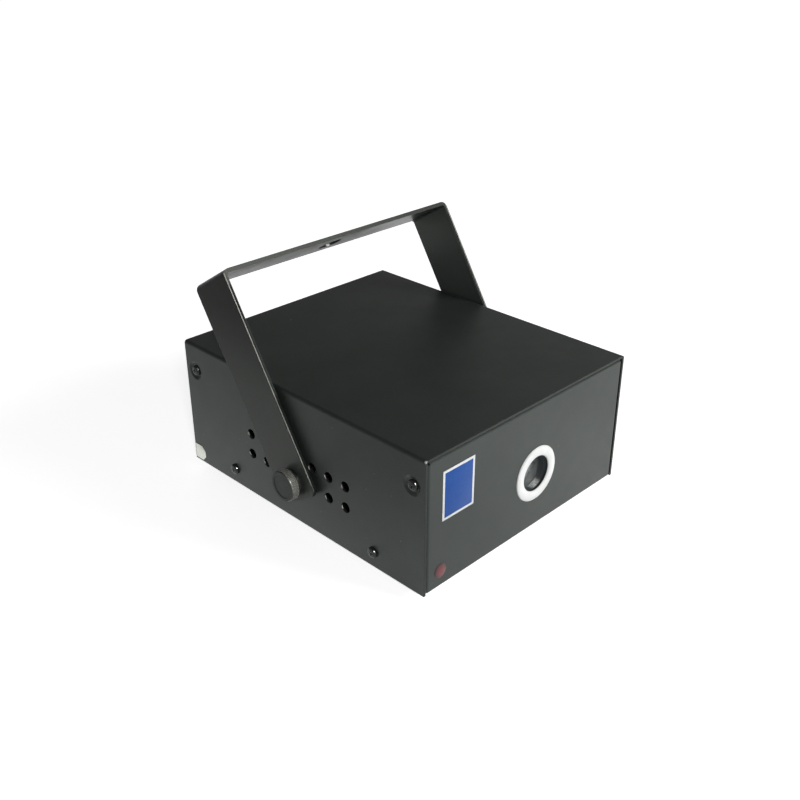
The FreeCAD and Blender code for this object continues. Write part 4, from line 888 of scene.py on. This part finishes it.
class PROJECTOR_OT_thumb_screws(bpy.types.Operator):
    """Model a knurled thumb screw and set a copy on each bracket arm"""
    bl_idname = "projector.thumb_screws"
    bl_label = "Thumb screws"

    def execute(self, context):
        size = settings().thumb
        low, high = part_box("left_thumb_screw")
        reach, radius = high.x - low.x, (high.z - low.z) / 2
        model = knurled_screw(radius, reach)
        for side, outward in (("left", -RIGHT), ("right", RIGHT)):
            node = f"{side}_thumb_screw"
            seat = middle(node) + outward * (reach / 2 - size.collar - size.head)
            piece = place(copied(model), seat, outward)
            piece.name = piece.data.name = f"{side}_knurled_screw"
            finish_piece(piece, finishes["knurled_steel"], f"{side}_clamp", node)
        bpy.data.objects.remove(model)
        return {"FINISHED"}


# Front and sides

class PROJECTOR_OT_aperture(bpy.types.Operator):
    """Model the white ring and the ridged recess behind it"""
    bl_idname = "projector.aperture"
    bl_label = "Aperture"

    def execute(self, context):
        size = settings().aperture
        low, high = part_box("aperture_bezel")
        outer, tall = (high.x - low.x) / 2, high.y - low.y
        shoulder = tall - size.edge
        rings = [(size.radius, 0), (outer, 0), (outer, shoulder), (outer - size.edge, tall)]
        rings += [(size.radius + size.edge, tall), (size.radius, shoulder)]
        ring = turned("aperture_ring", rings, segments=128, hollow=True)
        smooth(ring, angle=50)
        place(ring, on_axis("aperture_bezel", high.y), -BACK)
        finish_piece(ring, finishes["white_plastic"], "housing", "aperture_bezel")
        self.recess(size)
        return {"FINISHED"}

    def recess(self, size):
        low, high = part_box("aperture_tube")
        flange, end = (high.x - low.x) / 2, high.y - low.y
        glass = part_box("window_glass")[0].y - low.y
        tube = size.radius + size.wall
        rings = [(flange, 0), (flange, size.flange), (tube, size.flange), (tube, end), (size.seat, end)]
        rings += [(size.seat, glass), (size.radius, glass)]
        pitch = glass / size.ridges
        groove = 0.45 * pitch
        for step in reversed(range(size.ridges)):
            start = step * pitch
            rings += [(size.radius + size.ridge, start + groove), (size.radius, start)]
        piece = turned("aperture_recess", rings, segments=96, hollow=True)
        smooth(piece, angle=25)
        place(piece, on_axis("aperture_tube", low.y), BACK)
        finish_piece(piece, finishes["recess_black"], "housing", "aperture_tube")


class PROJECTOR_OT_indicator(bpy.types.Operator):
    """Model the low domed red lens in the front panel"""
    bl_idname = "projector.indicator"
    bl_label = "Indicator lens"

    def execute(self, context):
        size = settings().indicator
        low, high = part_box("indicator_lens")
        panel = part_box("base_chassis")[0].y
        radius, tall = (high.z - low.z) / 2, panel - low.y
        rings = [(size.stem, panel - high.y), (size.stem, 0), (radius, 0), (radius, size.rim)]
        steps = 8
        for step in range(1, steps):
            share = 1 - step / steps
            rings.append((radius * share, size.rim + (tall - size.rim) * (1 - share * share)))
        lens = turned("indicator_dome", rings, segments=64)
        smooth(lens, angle=40)
        place(lens, on_axis("indicator_lens", panel), -BACK)
        finish_piece(lens, finishes["red_lens"], "housing", "indicator_lens")
        return {"FINISHED"}


class PROJECTOR_OT_label(bpy.types.Operator):
    """Lay a plain bordered label on the front panel"""
    bl_idname = "projector.label"
    bl_label = "Front label"

    def execute(self, context):
        size = settings().label
        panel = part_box("base_chassis")[0].y
        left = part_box("top_cover")[0].x + size.left
        right, top = left + size.width, size.under + size.height
        face, inside = panel - size.film, size.border
        film = block("label_border", (left, face, size.under), (right, panel, top))
        corner = (left + inside, face - size.film / 2, size.under + inside)
        field = block("label_field", corner, (right - inside, face, top - inside))
        for piece, tint in ((film, size.white), (field, size.blue)):
            soften(piece, size.film / 4)
            smooth(piece)
            finish_piece(piece, paper_film(f"{piece.name}_print", tint, 0.6 * MM, 0.38), "housing")
        return {"FINISHED"}


class PROJECTOR_OT_seal(bpy.types.Operator):
    """Lay the bare paper seal across the lower rear corner of the left side"""
    bl_idname = "projector.seal"
    bl_label = "Paper seal"

    def execute(self, context):
        size = settings().seal
        low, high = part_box("top_cover")
        rear, under = high.y - size.rear, low.z + size.under
        corner = (low.x - size.paper, rear - size.width, under)
        seal = block("paper_seal", corner, (low.x, rear, under + size.height))
        edit(seal)

        def front_corner(edge):
            first, second = (vertex.co for vertex in edge.verts)
            across = abs(first.x - second.x) > size.paper / 2
            return across and max(first.y, second.y) < rear - size.width / 2

        select_where("EDGE", front_corner)
        bpy.ops.mesh.bevel(offset=size.clip, segments=1, affect="EDGES")
        leave_edit()
        soften(seal, size.paper / 4)
        smooth(seal)
        finish_piece(seal, paper_film("seal_paper", size.tint, 0.35 * MM, 0.5, 0.7), "housing")
        return {"FINISHED"}


# Rear controls

class PROJECTOR_OT_knob(bpy.types.Operator):
    """Model the fluted sensitivity knob and its pointer"""
    bl_idname = "projector.knob"
    bl_label = "Sensitivity knob"

    def execute(self, context):
        size = settings().knob
        low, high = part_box("sensitivity_knob")
        radius, tall = (high.x - low.x) / 2, high.y - low.y
        grip = radius - size.step
        face = grip - size.taper
        rings = [(radius, 0), (radius, size.skirt * 0.7), (grip, size.skirt), (face, tall - size.round)]
        bevel = 0.3 * size.round
        rings += [(face - bevel, tall - bevel), (face - size.round, tall)]
        dish, dish_floor = 0.62 * face, 0.56 * face
        rings += [(dish, tall), (dish_floor, tall - 0.4 * size.round)]
        points = 4
        segments = points * size.flutes
        knob = turned("fluted_knob", rings, segments)
        edit(knob)

        def flute(vertex):
            step = round(math.atan2(vertex.co.y, vertex.co.x) / math.tau * segments)
            on_grip = vertex.co.z > size.skirt * 0.9 and vertex.co.xy.length > face * 0.9
            return on_grip and step % points == points // 2

        select_where("VERT", flute)
        squeeze((grip - size.flute) / grip)
        leave_edit()
        smooth(knob, angle=30)
        base = on_axis("sensitivity_knob", low.y)
        place(knob, base, BACK)
        finish_piece(knob, finishes["knob_plastic"], "sensitivity", "sensitivity_knob")
        self.pointer(size, base, face, tall)
        return {"FINISHED"}

    def pointer(self, size, base, face, tall):
        half, proud = size.pointer / 2, 0.15 * size.round
        low = base + Vector((-half, tall - 0.5 * size.round, face * 0.66))
        high = base + Vector((half, tall + proud, face - 0.75 * size.round))
        piece = block("knob_pointer", low, high)
        soften(piece, proud * 0.8)
        smooth(piece)
        finish_piece(piece, finishes["white_plastic"], "sensitivity")


class PROJECTOR_OT_rocker_marks(bpy.types.Operator):
    """Print the on and off strokes flat on the two halves of the tilted power rocker"""
    bl_idname = "projector.rocker_marks"
    bl_label = "Rocker marks"

    def execute(self, context):
        size = settings().rocker
        half, thin, paint = size.mark / 2, size.stroke / 2, size.print
        bar = block("on_mark", (-thin, -half, -paint), (thin, half, paint))
        soften(bar, paint / 2, segments=1)
        inner = half - size.stroke
        rings = [(inner, -paint), (half, -paint), (half, paint), (inner, paint)]
        ring = turned("off_mark", rings, segments=48, hollow=True)
        pivot = on_axis("switch_body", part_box("base_chassis")[1].y)
        slope = math.atan2(size.rise - size.valley, size.half)
        tilt = Matrix.Rotation(-size.tilt, 4, "X")
        for piece, end in ((bar, 1), (ring, -1)):
            spot = Vector((0, (size.rise + size.valley) / 2, end * size.half / 2))
            facing = Matrix.Rotation(-end * slope, 4, "X") @ BACK
            smooth(piece)
            place(piece, pivot + tilt @ spot, tilt @ facing)
            finish_piece(piece, finishes["white_plastic"], "rocker")
        return {"FINISHED"}


# Stage

def light_world(ambient, ceiling):
    """Plain white to the camera; for other rays pale round the horizon, dim overhead and to the left."""
    world = bpy.context.scene.world or bpy.data.worlds.new("studio")
    bpy.context.scene.world = world
    world.use_nodes = True
    sky = Nodes(world.node_tree)
    background = next(node for node in sky.tree.nodes if node.type == "BACKGROUND")
    direction = sky.add("ShaderNodeTexCoord", {}, output="Generated")
    across, height = sky.axis(direction, "X"), sky.axis(direction, "Z")
    overhead = sky.remap(across, 0.6, 0.82, 0.4 * ceiling, 3 * ceiling)
    horizon = sky.remap(across, 0.1, 0.6, 0.1, 1.0)
    tone = sky.remap(height, 0.02, 0.26, horizon, overhead)
    sky.feed(background, "Color", sky.remap(sky.ray("Camera"), 0, 1, tone, 1))
    sky.feed(background, "Strength", sky.remap(sky.backdrop_seen(), 0, 1, ambient, 1))


# Places on the floor that look dim in reflections: centre, radius of the middle, whole radius and tone
DIM_SPOTS = (
    ((-0.2, -0.02, 0), 0.05, 0.12, 0.2),
    ((-0.05, -0.16, 0), 0.03, 0.13, 0.5),
    ((0.17, -0.22, 0), 0.04, 0.12, 0.6),
    ((0.16, 0.24, 0), 0.06, 0.18, 0.62),
)


def floor_material():
    """Pale studio paper with a glow: even far off, weaker near the part and dim in places in reflections."""
    skin = Surface("studio_paper")
    paper = skin.mix(skin.drift(0.4, 3), (0.78, 0.78, 0.78), (0.81, 0.81, 0.81))
    skin.shade(Base_Color=paper, Roughness=0.9, Specular_IOR_Level=0.0, Emission_Color=(1, 1, 1, 1))
    glow = skin.near((0, 0, 0), 0.5, 1.1, 0.75, 1.0)
    across = skin.at("X")
    patches = [skin.remap(across, -0.085, 0.12, 0.92, 1.0), skin.remap(across, -0.215, -0.08)]
    patches += [skin.near(spot, core, whole, tone, 1.0) for spot, core, whole, tone in DIM_SPOTS]
    seen = skin.remap(skin.ray("Glossy"), 0, 1, glow, skin.times(*patches))
    skin.shade(Emission_Strength=skin.times(seen, skin.backdrop_seen()))
    return skin.material


def aimed(item, target):
    item.rotation_mode = "QUATERNION"
    item.rotation_quaternion = (Vector(target) - item.location).to_track_quat("-Z", "Y")


class PROJECTOR_OT_stage(bpy.types.Operator):
    """Set the pale floor, the soft lamps and the camera"""
    bl_idname = "projector.stage"
    bl_label = "Stage"

    # Each lamp's setting, place, size and whether the part mirrors it
    LAMPS = (
        ("key", (0.62, -1.05, 0.52), (0.7, 0.45), False),
        ("rear", (0.25, 1.1, 0.3), (0.9, 0.4), False),
        ("side", (-0.55, 0.32, 0.07), (0.5, 0.12), False),
        ("flash", (-0.33, -0.37, 0.33), (0.05, 0.05), True),
    )

    def execute(self, context):
        stage = settings().stage
        deselect()
        bpy.ops.mesh.primitive_circle_add(vertices=96, radius=stage.floor / 2, fill_type="NGON")
        floor = named("studio_floor")
        floor.data.materials.append(floor_material())
        light_world(stage.ambient, stage.ceiling)
        for name, location, size, mirrored in self.LAMPS:
            deselect()
            bpy.ops.object.light_add(type="AREA", location=location)
            lamp = named(f"{name}_lamp")
            lamp.data.shape = "RECTANGLE"
            lamp.data.size, lamp.data.size_y = size
            lamp.data.energy = getattr(stage, name)
            lamp.visible_camera = False
            lamp.visible_glossy = mirrored
            aimed(lamp, stage.aim)
        deselect()
        bpy.ops.object.camera_add(location=stage.eye)
        camera = named("photo_camera")
        aimed(camera, stage.aim)
        camera.data.lens = stage.lens
        camera.data.clip_start = 0.01
        context.scene.camera = camera
        context.scene.view_settings.view_transform = "Standard"
        return {"FINISHED"}


OPERATORS = (
    PROJECTOR_OT_dress, PROJECTOR_OT_screws, PROJECTOR_OT_thumb_screws, PROJECTOR_OT_aperture,
    PROJECTOR_OT_indicator, PROJECTOR_OT_label, PROJECTOR_OT_seal, PROJECTOR_OT_knob,
    PROJECTOR_OT_rocker_marks, PROJECTOR_OT_stage,
)


class PROJECTOR_PT_panel(bpy.types.Panel):
    """Lists the projector's pieces and its stage"""
    bl_idname = "PROJECTOR_PT_panel"
    bl_label = "Projector"
    bl_space_type = "VIEW_3D"
    bl_region_type = "UI"
    bl_category = "Projector"

    def draw(self, context):
        for operator in OPERATORS:
            self.layout.operator(operator.bl_idname)


CLASSES = (
    CoatSettings, ScrewSettings, ThumbScrewSettings, ApertureSettings, IndicatorSettings, LabelSettings,
    SealSettings, KnobSettings, RockerSettings, StageSettings, ProjectorSettings,
    *OPERATORS, PROJECTOR_PT_panel,
)


def register():
    for item in CLASSES:
        bpy.utils.register_class(item)
    bpy.types.Scene.projector = PointerProperty(type=ProjectorSettings)


def unregister():
    del bpy.types.Scene.projector
    for item in reversed(CLASSES):
        bpy.utils.unregister_class(item)


def main():
    register()
    bpy.ops.projector.dress()
    bpy.ops.projector.screws()
    bpy.ops.projector.thumb_screws()
    bpy.ops.projector.aperture()
    bpy.ops.projector.indicator()
    bpy.ops.projector.label()
    bpy.ops.projector.seal()
    bpy.ops.projector.knob()
    bpy.ops.projector.rocker_marks()
    bpy.ops.projector.stage()


if __name__ == "__main__":
    main()
